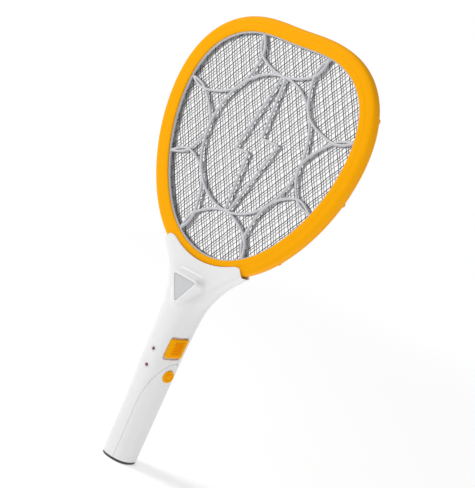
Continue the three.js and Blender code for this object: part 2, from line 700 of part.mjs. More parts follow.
// ---------------------------------------------------------------- end cap and inlet
const plugHeight = 9;
const socketRadius = 3;
const capPlug = form(CAP_HEIGHT - 0.1, plugHeight, SHELL_WALL + GAP, 28);
add('end_cap', cut(
  join(form(0, CAP_HEIGHT, 0.4), capPlug),
  pole(socketRadius + GAP, -1, plugHeight + 1),
), 'dark');
add('charging_socket', turned([
  [0, plugHeight + 2],
  [socketRadius, plugHeight + 2],
  [socketRadius, 0.6],
  [1.7, 0.6],
  [1.7, plugHeight],
  [0.5, plugHeight],
  [0.5, 1.6],
  [0, 1.6],
]), 'steel');

// ---------------------------------------------------------------- lamp
add('lamp_lens', slab(lampOutline(LAMP_RIM + GAP), -lampFace + 0.3, -lampFace + 2.2), 'lens');
const lampBoardY = -7;
add('lamp_board', box(-6.5, 6.5, lampBoardY, lampBoardY + 1.2, lampCentre[1] - 5, lampCentre[1] + 6),
  'board');
const lampBulb = turned([
  [0, 0],
  [2.9, 0],
  [2.9, 1],
  [2.5, 1],
  [2.5, 5],
  [2.1, 6.4],
  [1.2, 7.3],
  [0, 7.5],
], 16).rotate([90, 0, 0]).translate([0, lampBoardY - 0.1, lampCentre[1]]);
add('lamp_led', lampBulb, 'lens');

// ---------------------------------------------------------------- indicators
const boardFront = 3;
for (const [name, z] of Object.entries(indicatorHeights)) {
  const face = formAt(z).front;
  const dome = turned([
    [0, face - 8],
    [INDICATOR_RADIUS + 0.7, face - 8],
    [INDICATOR_RADIUS + 0.7, face - 7],
    [INDICATOR_RADIUS, face - 7],
    [INDICATOR_RADIUS, face - 0.9],
    [INDICATOR_RADIUS * 0.7, face - 0.25],
    [0, face],
  ], 16).rotate([90, 0, 0]).translate([0, 0, z]);
  const leads = [-1.27, 1.27].map((x) => box(x - 0.25, x + 0.25, -face + 7.5,
    boardFront - GAP, z - 0.25, z + 0.25));
  add(`indicator_${name}`, join(dome, leads), 'red');
}

// ---------------------------------------------------------------- slide switch
const knobRise = 1.3;
const knobUnder = SHELL_WALL + GAP + 0.1;
const nearSlide = [SLIDE_HEIGHT - 24, SLIDE_HEIGHT + 24];
const knobPlate = common(
  cut(form(...nearSlide, -knobRise), form(...nearSlide, knobUnder + 0.1, 24)),
  slideTool(0, 0, 4, slideSkin + 6),
);
const knobSkirt = common(
  cut(form(...nearSlide, knobUnder, 24), form(...nearSlide, knobUnder + 1.2, 24)),
  slideTool(2, SLIDE_TRAVEL * 2 + 0.6, 4, slideSkin + 6),
);
const onSlide = (body) => outwards(body, SLIDE_AZIMUTH, [0, 0, SLIDE_HEIGHT]);
const ribPitch = (SLIDE_LENGTH * 0.72) / SLIDE_RIBS;
const grooveBars = [...Array(SLIDE_RIBS + 1).keys()].map((i) => {
  const z = (i - SLIDE_RIBS / 2) * ribPitch;
  return onSlide(box(-SLIDE_WIDTH * 0.28, SLIDE_WIDTH * 0.32, z - 0.4, z + 0.4, 4, slideSkin + 6));
});
const grooves = common(join(grooveBars),
  cut(form(...nearSlide, -knobRise - 2), form(...nearSlide, -knobRise + 0.7)));
const switchOuter = slideSkin - knobUnder - 4.2;
const knobStem = onSlide(box(-1.5, 1.5, -2, 2, switchOuter - 1.6, slideSkin - knobUnder - 0.2));
add('slide_knob', join(cut(knobPlate, grooves), knobSkirt, knobStem), 'orange');
const switchSlot = box(-2.2, 2.2, -2.3 - SLIDE_TRAVEL, 2.3 + SLIDE_TRAVEL,
  switchOuter - 2, switchOuter + 1);
add('slide_switch_body', cut(
  onSlide(box(-3.6, 3.6, -8, 8, switchOuter - 5.5, switchOuter)),
  onSlide(switchSlot),
), 'dark');

// ---------------------------------------------------------------- push button
const flangeTop = buttonSkin - SHELL_WALL - 2.2;
const flangeRadius = BUTTON_RADIUS + 0.6;
const stemRadius = 1.6;
const springRadius = 3.2;
const plungerTop = flangeTop - 6.2;
const stemEnd = plungerTop + GAP + BUTTON_TRAVEL;
add('push_button', onButton(turned([
  [0, stemEnd],
  [stemRadius, stemEnd],
  [stemRadius, flangeTop - 1.2],
  [flangeRadius, flangeTop - 1.2],
  [flangeRadius, flangeTop],
  [BUTTON_RADIUS, flangeTop],
  [BUTTON_RADIUS, buttonSkin + 0.9],
  [BUTTON_RADIUS - 0.7, buttonSkin + 1.6],
  [BUTTON_RADIUS * 0.62, buttonSkin + 1.6],
  [BUTTON_RADIUS * 0.55, buttonSkin + 1.1],
  [BUTTON_RADIUS * 0.48, buttonSkin + 1.6],
  [0, buttonSkin + 1.8],
], 28)), 'orange');

class Coil extends THREE.Curve {
  getPoint(t) {
    const turnAngle = t * 2 * Math.PI * 4;
    const low = plungerTop - 0.4;
    const high = flangeTop - 1.9;
    return new THREE.Vector3(springRadius * Math.cos(turnAngle), springRadius * Math.sin(turnAngle),
      low + (high - low) * t);
  }
}
const wireShape = (r, n = 6) => new THREE.Shape([...Array(n).keys()].map((i) => {
  const a = (i / n) * 2 * Math.PI;
  return new THREE.Vector2(r * Math.cos(a), r * Math.sin(a));
}));
const coil = new THREE.ExtrudeGeometry(wireShape(0.3, 5), { steps: 48, extrudePath: new Coil() });
add('button_spring', onButton(solid(coil)), 'steel');
add('push_switch', onButton(join(
  box(-3, 3, -3, 3, plungerTop - 4.4, plungerTop - 1),
  pole(1.5, plungerTop - 1.1, plungerTop, 12),
)), 'dark');

// ---------------------------------------------------------------- battery and board
const batteryHalf = BATTERY_WIDTH / 2;
const batteryBottom = plugHeight + 5;
const batteryBody = join(
  box(-batteryHalf, batteryHalf, -batteryHalf, batteryHalf, batteryBottom, batteryTop - 3),
  box(-batteryHalf + 1, batteryHalf - 1, -batteryHalf + 1, batteryHalf - 1,
    batteryTop - 3.1, batteryTop),
);
add('battery', batteryBody, 'dark');
for (const [name, x] of [['plus', 4], ['minus', -4]]) {
  const blade = box(x - 1.8, x + 1.8, 2.2, 3, batteryTop + GAP, batteryTop + 5);
  const foot = box(x - 1.8, x + 1.8, -2, 3, batteryTop + GAP, batteryTop + GAP + 0.8);
  add(`battery_tab_${name}`, join(blade, foot), 'brass');
}

const boardBottom = batteryTop + BOARD_GAP;
const boardTop = HANDLE_LENGTH - BOARD_DROP;
const boardHalf = 12;
add('main_board', box(-boardHalf, boardHalf, boardFront, boardFront + 1.6, boardBottom, boardTop),
  'board');
const onBoard = boardFront - GAP;
const transformerHeight = boardTop - 15;
add('transformer', join(
  box(-7, 7, onBoard - 3, onBoard, transformerHeight - 7, transformerHeight + 7),
  box(-5.5, 5.5, onBoard - 9, onBoard - 2.9, transformerHeight - 4, transformerHeight + 4),
  box(-7, 7, onBoard - 12, onBoard - 8.9, transformerHeight - 7, transformerHeight + 7),
), 'amber');
add('main_capacitor', join(
  box(-10.5, -3.5, onBoard - 8.5, onBoard - 0.6, boardTop - 40, boardTop - 26),
  box(-7.4, -6.6, onBoard - 0.7, onBoard, boardTop - 38, boardTop - 28),
), 'red');

// A small two-lead part lying on the board, along X.
function lying(radius, halfLength, x, z) {
  const y = onBoard - radius - 0.8;
  const barrel = turned([[0, -halfLength], [radius, -halfLength + 0.4],
    [radius, halfLength - 0.4], [0, halfLength]], 10).rotate([0, 90, 0]).translate([x, y, z]);
  const legs = [-1, 1].map((way) => join(
    box(Math.min(x, x + way * (halfLength + 1)), Math.max(x, x + way * (halfLength + 1)),
      y - 0.25, y + 0.25, z - 0.25, z + 0.25),
    box(x + way * (halfLength + 1) - 0.25, x + way * (halfLength + 1) + 0.25,
      y - 0.25, onBoard, z - 0.25, z + 0.25),
  ));
  return join(barrel, legs);
}
add('rectifier_diode_1', lying(1.3, 2.6, -6.5, boardBottom + 36), 'dark');
add('rectifier_diode_2', lying(1.3, 2.6, -6.5, boardBottom + 31), 'dark');
add('bleed_resistor', lying(1.2, 3, -6.5, boardBottom + 17), 'amber');
add('drive_transistor', join(
  common(
    turned([[0, 0], [2.4, 0], [2.4, 4.6], [0, 4.6]], 16)
      .translate([-7, onBoard - 3.5, boardBottom + 7]),
    box(-12, 0, -20, onBoard - 2.6, boardBottom, boardBottom + 20),
  ),
  box(-8.6, -5.4, onBoard - 4, onBoard - 3.4, boardBottom + 5.4, boardBottom + 7.1),
  box(-8.6, -5.4, onBoard - 4, onBoard, boardBottom + 5.2, boardBottom + 5.8),
), 'dark');

// ---------------------------------------------------------------- leads
function lead(points, radius = 0.7) {
  const path = new THREE.CatmullRomCurve3(points.map((p) => new THREE.Vector3(...p)));
  const g = new THREE.ExtrudeGeometry(wireShape(radius), { steps: 14, extrudePath: path });
  const made = solid(g);
  return made.volume() > 0 ? made : solid(flipped(g.toNonIndexed()));
}
const tabBottom = HANDLE_LENGTH + 3 - GAP;
for (const [name, y] of Object.entries(gridPlanes)) {
  const x = y === 0 ? 0 : Math.sign(y) * 5;
  const start = boardTop - 4;
  add(`${name}_lead`, lead([
    [x * 1.6, onBoard - 0.7, start],
    [x * 1.5, onBoard - 1.2, start + 6],
    [x, y, boardTop + 16.4],
    [x, y, tabBottom],
  ]), name === 'centre_grid' ? 'red' : 'dark');
}
for (const [name, x] of [['plus', 4], ['minus', -4]]) {
  add(`battery_lead_${name}`, lead([
    [x, 1.2, batteryTop + 4],
    [x * 1.1, 0.2, batteryTop + 8],
    [x * 1.2, onBoard - 1, boardBottom + 3],
  ]), name === 'plus' ? 'red' : 'dark');
}
add('lamp_lead', lead([
  [4, lampBoardY + 2.2, lampCentre[1] - 4],
  [8, lampBoardY + 4, lampCentre[1] - 14],
  [9.5, onBoard - 1, boardTop - 3],
], 0.6), 'red');

export default group;
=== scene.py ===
"""Electric fly swatter: an orange egg-shaped head with three wire grids between two grey
guard grilles, on a white moulded handle with a lamp, two indicators, a slide and a button.

Lengths in this script are millimetres on the handle's own axis: z runs up the racket, x to
its right-hand side and the front faces -y. make() turns them into metres and moves them
back by AXIS_BACK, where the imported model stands.
"""
import json
import math

import bpy
import numpy as np
from mathutils import Matrix, Vector


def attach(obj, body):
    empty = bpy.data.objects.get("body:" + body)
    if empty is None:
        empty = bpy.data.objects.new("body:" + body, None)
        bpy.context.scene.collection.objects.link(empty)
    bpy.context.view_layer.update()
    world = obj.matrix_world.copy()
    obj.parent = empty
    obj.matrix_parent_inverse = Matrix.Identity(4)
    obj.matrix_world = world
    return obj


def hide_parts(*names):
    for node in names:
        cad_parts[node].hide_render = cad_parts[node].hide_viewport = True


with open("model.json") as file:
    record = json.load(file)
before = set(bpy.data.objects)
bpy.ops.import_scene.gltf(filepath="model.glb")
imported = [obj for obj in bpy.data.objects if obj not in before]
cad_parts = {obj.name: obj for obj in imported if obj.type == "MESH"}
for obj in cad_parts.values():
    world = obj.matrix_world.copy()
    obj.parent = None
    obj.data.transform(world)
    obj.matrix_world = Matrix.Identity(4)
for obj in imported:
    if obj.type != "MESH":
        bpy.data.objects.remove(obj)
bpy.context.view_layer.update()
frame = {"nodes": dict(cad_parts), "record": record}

# ------------------------------------------------------------------ sizes
GAP = 0.3
AXIS_BACK = 2.4
HANDLE_LENGTH = 219.0
HEAD_HEIGHT = 271.0
HEAD_WIDTH = 252.0
RING_WIDTH = 17.0
LIP_INSIDE = 6.0
LIP_WIDTH = 9.5
GRIP_RADIUS = 18.0
FRONT_BULGE = 22.8
BACK_BULGE = 18.0
GRIP_POWER = 2.4
YOKE_POWER = 7.5
YOKE_END_SLOPE = 1.4
WALL = 1.6
# Cosine terms of the egg's radius, from its mean up.
EGG_TERMS = (1, -0.073, 0.044, -0.073, -0.013, -0.0125)

WINDOW_WIDTH = HEAD_WIDTH - 2 * RING_WIDTH
WINDOW_HEIGHT = HEAD_HEIGHT - 2 * RING_WIDTH
WINDOW_BOTTOM = HANDLE_LENGTH + RING_WIDTH
YOKE_TOP = HANDLE_LENGTH + 22
YOKE_DEPTH = 9.8
YOKE_STRIP = 7.0
YOKE_COVER = 1.7
YOKE_END_SHARE = 0.78
YOKE_EDGE_FROM = 205

GRID_PITCH = 10.2
GRID_LEAN = math.radians(32.3)
GRID_STEP = 2.55
GRID_MIDDLE = WINDOW_BOTTOM + WINDOW_HEIGHT * 0.54
CROSSING = GRID_PITCH / math.sin(2 * GRID_LEAN)
GRID_RIM = (2.4, 4.2)
GRID_RIM_HALF = 0.35
SPACER = (1.5, 9.2)
SPACER_DEPTHS = (0.65, 1.9)
WIRE_RADIUS = 0.42
WIRE_SIDES = 6
WIRE_STEPS = 4
WIRE_END = 3.5
WEAVE_LIFT = 0.42

RIB_WIDTH = 2.7
RIB_DEPTH = 2.6
GRILLE_FACE = 5.7
GRILLE_RIM = (-1.2, 9.2)
SPOKE_ANGLES = (23.5, 74, 119, 161)
SPOKE_LENGTH = 25.0
OVAL = (WINDOW_WIDTH * 0.565 / 2, WINDOW_HEIGHT * 0.635 / 2)
OVAL_HEIGHT = WINDOW_BOTTOM + WINDOW_HEIGHT * 0.533

SHELL_FOOT = 2.7
PANEL_EDGE = 4.0
PANEL_STRAIGHT = 50.0
PANEL_TOP = 119.0
ARCH_POWER = 2.2
SLIDE_TURN = math.radians(62)
SLIDE_HEIGHT = 135.6
SLIDE_WIDTH = 21.0
SLIDE_LENGTH = 21.5
SLIDE_SLANT = 3.5
SLIDE_TRAVEL = 2.0
SLIDE_CORNER = 2.6
SLIDE_REACH = 21
SLIDE_RIB_FIELD = 0.72
SLIDE_RIB_STEP = 0.18
KNOB_UNDERSIDE = -3.2
SHIELD_LEVELS = (-2.0, -3.0)
SHIELD_GROWTH = 4.2
EDGE_SOFT = 0.45
PANEL_SOFT = 1.0
SEAM_SOFT = 0.2
BUTTON_TURN = math.radians(76)
BUTTON_HEIGHT = PANEL_TOP - 14.6
BUTTON_RADIUS = 6.8
INDICATOR_HEIGHTS = {"upper": 127.0, "lower": 108.6}
LAMP_FACE = FRONT_BULGE - 0.3
LAMP_WIDTH = 36.4
LAMP_HEIGHT = 33.0
LAMP_TOP = HANDLE_LENGTH - 9.2
LAMP_RIM = 2.0
LAMP_CORNER = 3.2
# Handle screws as (x, z), ring screws as degrees from the top of the head.
HANDLE_SCREWS = ((-9, 77.7), (-13, 180.7), (13, 180.7), (-27, 211.3), (27, 211.3))
RING_SCREWS = (20, 62, 104, 146, 214, 256, 298, 340)
SCREW_HOLE = 2.7
# Steps of the finer rows beside an edge that is rounded.
FINE = np.array([0, 0.07, 0.18, 0.34, 0.55, 0.85])

# Brightness of the sky as light and as backdrop, and of the floor near and far.
SKY_LIGHT, SKY_SEEN = 0.43, 1.0
FLOOR_NEAR, FLOOR_FAR = 0.40, 0.60


# ------------------------------------------------------------------ mesh making
def grid_faces(rows, columns, wrap_rows=False, wrap_columns=False):
    """Four-cornered faces of a grid of points numbered row by row."""
    r = np.arange(rows if wrap_rows else rows - 1)[:, None]
    c = np.arange(columns if wrap_columns else columns - 1)[None, :]
    up, on = (r + 1) % rows, (c + 1) % columns
    corners = [r * columns + c, r * columns + on, up * columns + on, up * columns + c]
    return np.stack(corners, -1).reshape(-1, 4)


def outward(points, faces):
    """Faces turned so that the closed surface holds a positive volume: sum of a . (b x c)."""
    a, b, c, d = (points[faces[:, k]] for k in range(4))
    volume = np.einsum("ij,ij->", a, np.cross(b, c)) + np.einsum("ij,ij->", a, np.cross(c, d))
    return faces if volume > 0 else faces[:, ::-1]


def thick(outer, inner, faces):
    """A closed solid between two surfaces with the same faces, joined along their free edges."""
    n = len(outer)
    edges = np.concatenate([faces[:, [k, (k + 1) % 4]] for k in range(4)])
    edges = edges[edges[:, 0] != edges[:, 1]]
    keys = np.sort(edges, 1) @ np.array([n, 1])
    _, first, count = np.unique(keys, return_index=True, return_counts=True)
    rim = edges[first[count == 1]]
    walls = np.stack([rim[:, 1], rim[:, 0], rim[:, 0] + n, rim[:, 1] + n], -1)
    points = np.concatenate([outer, inner])
    return points, np.concatenate([faces, faces[:, ::-1] + n, walls])


def make(name, parts, slot, body="racket", crease=35, replaces=()):
    """One object from (points, faces) parts, in its slot's finish and riding on its body."""
    all_points, all_faces, start = [], [], 0
    for points, faces in parts:
        points = np.asarray(points, float).reshape(-1, 3)
        all_faces.append(outward(points, np.asarray(faces)) + start)
        all_points.append(points)
        start += len(points)
    points, faces = np.concatenate(all_points), np.concatenate(all_faces)
    used, faces = np.unique(faces, return_inverse=True)
    faces = faces.reshape(-1, 4)
    metres = (points[used] + [0, AXIS_BACK, 0]) * 0.001
    lists = [list(dict.fromkeys(f)) for f in faces.tolist()]
    mesh = bpy.data.meshes.new(name)
    mesh.from_pydata(metres.tolist(), [], [f for f in lists if len(f) > 2])
    mesh.validate()
    mesh.polygons.foreach_set("use_smooth", np.ones(len(mesh.polygons), bool))
    mesh.set_sharp_from_angle(angle=math.radians(crease))
    mesh.materials.append(FINISHES[slot])
    piece = bpy.data.objects.new(name, mesh)
    bpy.context.scene.collection.objects.link(piece)
    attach(piece, body)
    if replaces:
        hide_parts(*replaces)


def softened(corners, radius, steps=5, closed=True):
    """A polyline whose corners are quadratic curves that start a radius away from them."""
    p = np.asarray(corners, float)
    before, after = np.roll(p, 1, 0), np.roll(p, -1, 0)
    radius = np.broadcast_to(np.asarray(radius, float), len(p))[:, None]
    reach = [np.linalg.norm(q - p, axis=1, keepdims=True) + 1e-9 for q in (before, after)]
    a = p + (before - p) / reach[0] * np.minimum(radius, reach[0] * 0.48)
    b = p + (after - p) / reach[1] * np.minimum(radius, reach[1] * 0.48)
    if not closed:
        a[0], b[0], a[-1], b[-1] = p[0], p[0], p[-1], p[-1]
    t = np.linspace(0, 1, steps + 1)[None, :, None]
    curve = a[:, None] * (1 - t) ** 2 + 2 * p[:, None] * t * (1 - t) + b[:, None] * t ** 2
    return curve.reshape(-1, 2)


def evenly(path, count, closed=False):
    """The same path as a number of points at equal steps along it."""
    if closed:
        path = np.vstack([path, path[:1]])
    run = np.concatenate([[0], np.cumsum(np.linalg.norm(np.diff(path, axis=0), axis=1))])
    at = np.linspace(0, run[-1], count, endpoint=not closed)
    return np.stack([np.interp(at, run, path[:, k]) for k in range(path.shape[1])], -1)


def turned(profile, origin, axis, around=48):
    """A profile of (radius, height) points spun about an axis: o + h n + r (u cos a + v sin a)."""
    n = np.asarray(axis, float) / np.linalg.norm(axis)
    u = np.cross(n, [0, 0, 1] if abs(n[2]) < 0.9 else [1, 0, 0])
    u /= np.linalg.norm(u)
    v = np.cross(n, u)
    a = np.linspace(0, 2 * np.pi, around, endpoint=False)[None, :, None]
    r, h = np.asarray(profile, float).T[:, :, None, None]
    points = np.asarray(origin) + h * n + r * (u * np.cos(a) + v * np.sin(a))
    closed = len(profile) > 2 and np.allclose(profile[0], profile[-1])
    if closed:
        points = points[:-1]
    faces = grid_faces(len(points), around, closed, True)
    flat = points.reshape(-1, 3)
    if not closed:
        for row, radius in ((0, profile[0][0]), (len(points) - 1, profile[-1][0])):
            if radius < 1e-6:
                faces = np.where((faces // around) == row, row * around, faces)
    return flat, faces


def rounded(distance, radius):
    """How far an edge rounding drops at a distance from the edge: r - sqrt(r^2 - (r - d)^2)."""
    rest = np.clip(radius - distance, 0, radius)
    return radius - np.sqrt(radius ** 2 - rest ** 2)


# ------------------------------------------------------------------ head outline
def egg(angle):
    """r = sum of e_k cos(k a), as (r sin a, r cos a)."""
    r = sum(term * np.cos(k * angle) for k, term in enumerate(EGG_TERMS))
    return np.stack([r * np.sin(angle), r * np.cos(angle)], -1)


EGG_ALL = egg(np.linspace(0, 2 * np.pi, 1440, endpoint=False))
EGG_LOW, EGG_HIGH = EGG_ALL.min(0), EGG_ALL.max(0)


def window(angle, offset=0.0):
    """The egg stretched to the window's size, then pushed out along its normal by an offset."""
    def stretched(a):
        share = (egg(a) - EGG_LOW) / (EGG_HIGH - EGG_LOW)
        return share * [WINDOW_WIDTH, WINDOW_HEIGHT] + [-WINDOW_WIDTH / 2, WINDOW_BOTTOM]
    along = stretched(angle + 0.01) - stretched(angle - 0.01)
    along /= np.linalg.norm(along, axis=-1, keepdims=True)
    normal = np.stack([-along[..., 1], along[..., 0]], -1)
    return stretched(angle) + normal * np.asarray(offset)[..., None]


def window_band(section, steps=480):
    """A closed section of (offset, y) points carried round the window."""
    angle = np.linspace(0, 2 * np.pi, steps, endpoint=False)[:, None]
    offset, y = np.asarray(section, float).T
    xz = window(angle + 0 * offset, offset + 0 * angle)
    points = np.stack([xz[..., 0], y + 0 * angle, xz[..., 1]], -1)
    return points.reshape(-1, 3), grid_faces(steps, len(section), True, True)


# ------------------------------------------------------------------ handle form
def yoke_half_width():
    """Outside of the ring at the yoke's top edge, plus the shell around it."""
    outside = window(np.linspace(0.5 * np.pi, np.pi, 2000), RING_WIDTH)
    return np.interp(YOKE_TOP, outside[::-1, 1], outside[::-1, 0]) + YOKE_COVER


YOKE_HALF = yoke_half_width()
YOKE_END = YOKE_HALF * YOKE_END_SHARE


def flare(share):
    """Half width part of the way from the grip to the yoke."""
    return GRIP_RADIUS + (YOKE_HALF - GRIP_RADIUS) * share


# Height share, half width, front depth, back depth, power of the oval.
STATIONS = np.array([
    (0, GRIP_RADIUS - 0.3, GRIP_RADIUS, BACK_BULGE, GRIP_POWER),
    (0.22, GRIP_RADIUS, GRIP_RADIUS + 0.3, BACK_BULGE, GRIP_POWER),
    (0.38, GRIP_RADIUS + 0.4, GRIP_RADIUS + 2.2, BACK_BULGE - 0.3, GRIP_POWER),
    (0.455, GRIP_RADIUS + 0.8, GRIP_RADIUS + 3.6, BACK_BULGE - 0.6, GRIP_POWER),
    (0.48, GRIP_RADIUS + 1, FRONT_BULGE - 0.5, BACK_BULGE - 0.8, GRIP_POWER),
    (0.54, GRIP_RADIUS + 1.2, FRONT_BULGE, BACK_BULGE - 1, GRIP_POWER),
    (0.61, GRIP_RADIUS + 1.7, FRONT_BULGE - 0.2, BACK_BULGE - 1, GRIP_POWER),
    (0.68, flare(0.055), FRONT_BULGE - 0.8, BACK_BULGE - 1.1, GRIP_POWER),
    (0.745, flare(0.08), FRONT_BULGE - 1.5, BACK_BULGE - 1.5, GRIP_POWER),
    (0.8, flare(0.115), FRONT_BULGE - 2.2, BACK_BULGE - 2, GRIP_POWER),
    (0.85, flare(0.17), FRONT_BULGE - 3.2, BACK_BULGE - 3, 2.5),
    (0.915, flare(0.305), YOKE_DEPTH + 5.8, YOKE_DEPTH + 3.6, 2.9),
    (0.96, flare(0.42), YOKE_DEPTH + 3.6, YOKE_DEPTH + 2.2, 3.6),
    (1.005, flare(0.58), YOKE_DEPTH + 2, YOKE_DEPTH + 1.2, 4.8),
    (1.05, flare(0.77), YOKE_DEPTH + 0.9, YOKE_DEPTH + 0.5, 6.2),
    (YOKE_TOP / HANDLE_LENGTH, YOKE_HALF, YOKE_DEPTH, YOKE_DEPTH, YOKE_POWER),
])
KNOTS = STATIONS[:, 0] * HANDLE_LENGTH
SLOPES = np.gradient(STATIONS[:, 1:], KNOTS, axis=0)


def form_sizes(z):
    """Half width, front depth, back depth and power at heights: cubic runs that meet in slope."""
    z = np.clip(np.asarray(z, float), 0, YOKE_TOP)
    i = np.clip(np.searchsorted(KNOTS, z, side="right") - 1, 0, len(KNOTS) - 2)
    h = KNOTS[i + 1] - KNOTS[i]
    t = ((z - KNOTS[i]) / h)[..., None]
    h = h[..., None]
    low, high = STATIONS[i, 1:], STATIONS[i + 1, 1:]
    sizes = (low * (1 + 2 * t) * (1 - t) ** 2 + high * t * t * (3 - 2 * t)
             + h * SLOPES[i] * t * (1 - t) ** 2 + h * SLOPES[i + 1] * t * t * (t - 1))
    return tuple(sizes[..., k] for k in range(4))


def form(z, turn, inset=0.0):
    """Skin of the handle: x = side r cos t, y = depth r sin t, r = (|cos|^p + |sin|^p)^(-1/p)."""
    z, turn, inset = np.broadcast_arrays(z, turn, inset)
    side, front, back, power = form_sizes(z)
    depth = np.where(np.sin(turn) < 0, front, back)
    c, s = np.cos(turn), np.sin(turn)
    reach = (np.abs(c) ** power + np.abs(s) ** power) ** (-1 / power)
    return np.stack([(side - inset) * reach * c, (depth - inset) * reach * s, z], -1)


def skin_depth(x, z, way):
    """Distance of the skin from the parting plane at a point seen from the front or back."""
    side, front, back, power = form_sizes(z)
    depth = front if way < 0 else back
    return depth * np.clip(1 - np.abs(x / side) ** power, 0, 1) ** (1 / power)


def skin_reach(z, azimuth):
    """Distance of the skin from the axis; azimuth 0 faces the front and 90 degrees right."""
    side, front, back, power = form_sizes(z)
    depth = np.where(np.cos(azimuth) > 0, front, back)
    total = np.abs(np.sin(azimuth) / side) ** power + np.abs(np.cos(azimuth) / depth) ** power
    return total ** (-1 / power)


def turn_at(z, azimuth):
    """The form's turn at an azimuth: tan t = side cos a / (depth sin a)."""
    side, front, _, _ = form_sizes(z)
    return np.arctan2(np.cos(azimuth) * side, np.sin(azimuth) * front)


# ------------------------------------------------------------------ finishes
def material(name, colour, rough, grain=1800.0, bump=0.06, mottle=0.04, metal=0.0, **extra):
    """Principled surface: a slow mottle in its colour, and a fine grain in its gloss and bump."""
    m = bpy.data.materials.new(name)
    m.use_nodes = True
    nodes, links = m.node_tree.nodes, m.node_tree.links
    shader = nodes["Principled BSDF"]
    shader.inputs["Metallic"].default_value = metal
    for socket, value in extra.items():
        shader.inputs[socket.replace("_", " ")].default_value = value
    where = nodes.new("ShaderNodeTexCoord").outputs["Object"]

    def noise(scale, detail):
        n = nodes.new("ShaderNodeTexNoise")
        n.inputs["Scale"].default_value = scale
        n.inputs["Detail"].default_value = detail
        links.new(where, n.inputs["Vector"])
        return n.outputs["Fac"]

    slow, fine = noise(45.0, 3.0), noise(grain, 2.0)
    tint = nodes.new("ShaderNodeMix")
    tint.data_type = "RGBA"
    tint.inputs["A"].default_value = (*[c * (1 - mottle) for c in colour], 1)
    tint.inputs["B"].default_value = (*[min(1, c * (1 + mottle)) for c in colour], 1)
    links.new(slow, tint.inputs["Factor"])
    links.new(tint.outputs["Result"], shader.inputs["Base Color"])
    gloss = nodes.new("ShaderNodeMapRange")
    gloss.inputs["To Min"].default_value = rough * 0.8
    gloss.inputs["To Max"].default_value = min(1, rough * 1.25)
    links.new(fine, gloss.inputs["Value"])
    links.new(gloss.outputs["Result"], shader.inputs["Roughness"])
    relief = nodes.new("ShaderNodeBump")
    relief.inputs["Strength"].default_value = bump
    relief.inputs["Distance"].default_value = 0.0002
    links.new(fine, relief.inputs["Height"])
    links.new(relief.outputs["Normal"], shader.inputs["Normal"])
    return m


def front_wires_painted_shade(m, painted_shade_colour):
    """Painted shade: darkens the wires of the front layer, which lie ahead of the other two, though
    all three are one steel.
    """
    nodes, links = m.node_tree.nodes, m.node_tree.links
    where = nodes.new("ShaderNodeTexCoord").outputs["Object"]
    split = nodes.new("ShaderNodeSeparateXYZ")
    links.new(where, split.inputs[0])
    layer = nodes.new("ShaderNodeMapRange")
    layer.inputs["From Min"].default_value = (AXIS_BACK - GRID_STEP * 0.6) / 1000
    layer.inputs["From Max"].default_value = (AXIS_BACK - GRID_STEP * 0.4) / 1000
    links.new(split.outputs["Y"], layer.inputs["Value"])
    mix = nodes.new("ShaderNodeMix")
    mix.data_type = "RGBA"
    mix.inputs["A"].default_value = (*painted_shade_colour, 1)
    base = nodes["Principled BSDF"].inputs["Base Color"]
    links.new(base.links[0].from_socket, mix.inputs["B"])
    links.new(layer.outputs["Result"], mix.inputs["Factor"])
    links.new(mix.outputs["Result"], base)
    return m


FINISHES = {
    "orange_plastic": material("orange_plastic", (0.98, 0.415, 0.0), 0.5, bump=0.10,
                               mottle=0.02, Specular_IOR_Level=0.06),
    "white_plastic": material("white_plastic", (0.85, 0.85, 0.855), 0.24, bump=0.05, mottle=0.012),
    "grey_plastic": material("grey_plastic", (0.61, 0.615, 0.64), 0.38, bump=0.08),
    # Painted shade: the front layer's wires get a near-black colour that stands in for their shade;
    # the real wires are one steel.
    "wire_steel": front_wires_painted_shade(material("wire_steel", (0.40, 0.40, 0.415), 0.40, 2600.0),
                           (0.03, 0.03, 0.032)),
    "screw_steel": material("screw_steel", (0.42, 0.42, 0.43), 0.28, 2600.0, metal=1.0),
    "dark_plastic": material("dark_plastic", (0.05, 0.052, 0.056), 0.42),
    "black_plastic": material("black_plastic", (0.02, 0.02, 0.022), 0.45),
    "frosted_lens": material("frosted_lens", (0.60, 0.61, 0.625), 0.42, 700.0, bump=0.25,
                             Coat_Weight=0.35, Coat_Roughness=0.12),
    "red_lens": material("red_lens", (0.20, 0.004, 0.012), 0.14, Coat_Weight=0.8,
                         Subsurface_Weight=0.1),
    "circuit_board": material("circuit_board", (0.03, 0.20, 0.08), 0.45, 900.0, bump=0.15),
    "amber_winding": material("amber_winding", (0.45, 0.15, 0.02), 0.40, 3000.0, bump=0.3),
    "red_capacitor": material("red_capacitor", (0.40, 0.05, 0.03), 0.35),
    "brass_tab": material("brass_tab", (0.62, 0.42, 0.14), 0.30, metal=1.0),
    "bright_steel": material("bright_steel", (0.62, 0.62, 0.63), 0.22, metal=1.0),
    "red_lead": material("red_lead", (0.45, 0.02, 0.02), 0.42),
    "black_lead": material("black_lead", (0.025, 0.025, 0.028), 0.42),
}
SLOT_OF = {row["node"]: row["material_slot"] for row in frame["record"]["subparts"]}
for node, piece in frame["nodes"].items():
    piece.data.materials.clear()
    piece.data.materials.append(FINISHES[SLOT_OF[node]])


# ------------------------------------------------------------------ head rings
def ring_section(way):
    """Half of the ring: lip, inner band, a shallow step, rounded shoulder, flank and seam."""
    face = softened([(0, LIP_INSIDE), (0, 7.35), (1.3, 7.9), (6.2, 8.0), (6.7, 7.72), (13.6, 7.6),
                     (16.9, 5.6), (RING_WIDTH, 0.15), (LIP_WIDTH, 0.15), (LIP_WIDTH, LIP_INSIDE)],
                    [0.3, 0.7, 1.0, 0.35, 0.35, 3.4, 2.4, 0.3, 0.1, 0.1])
    return face * [1, way]


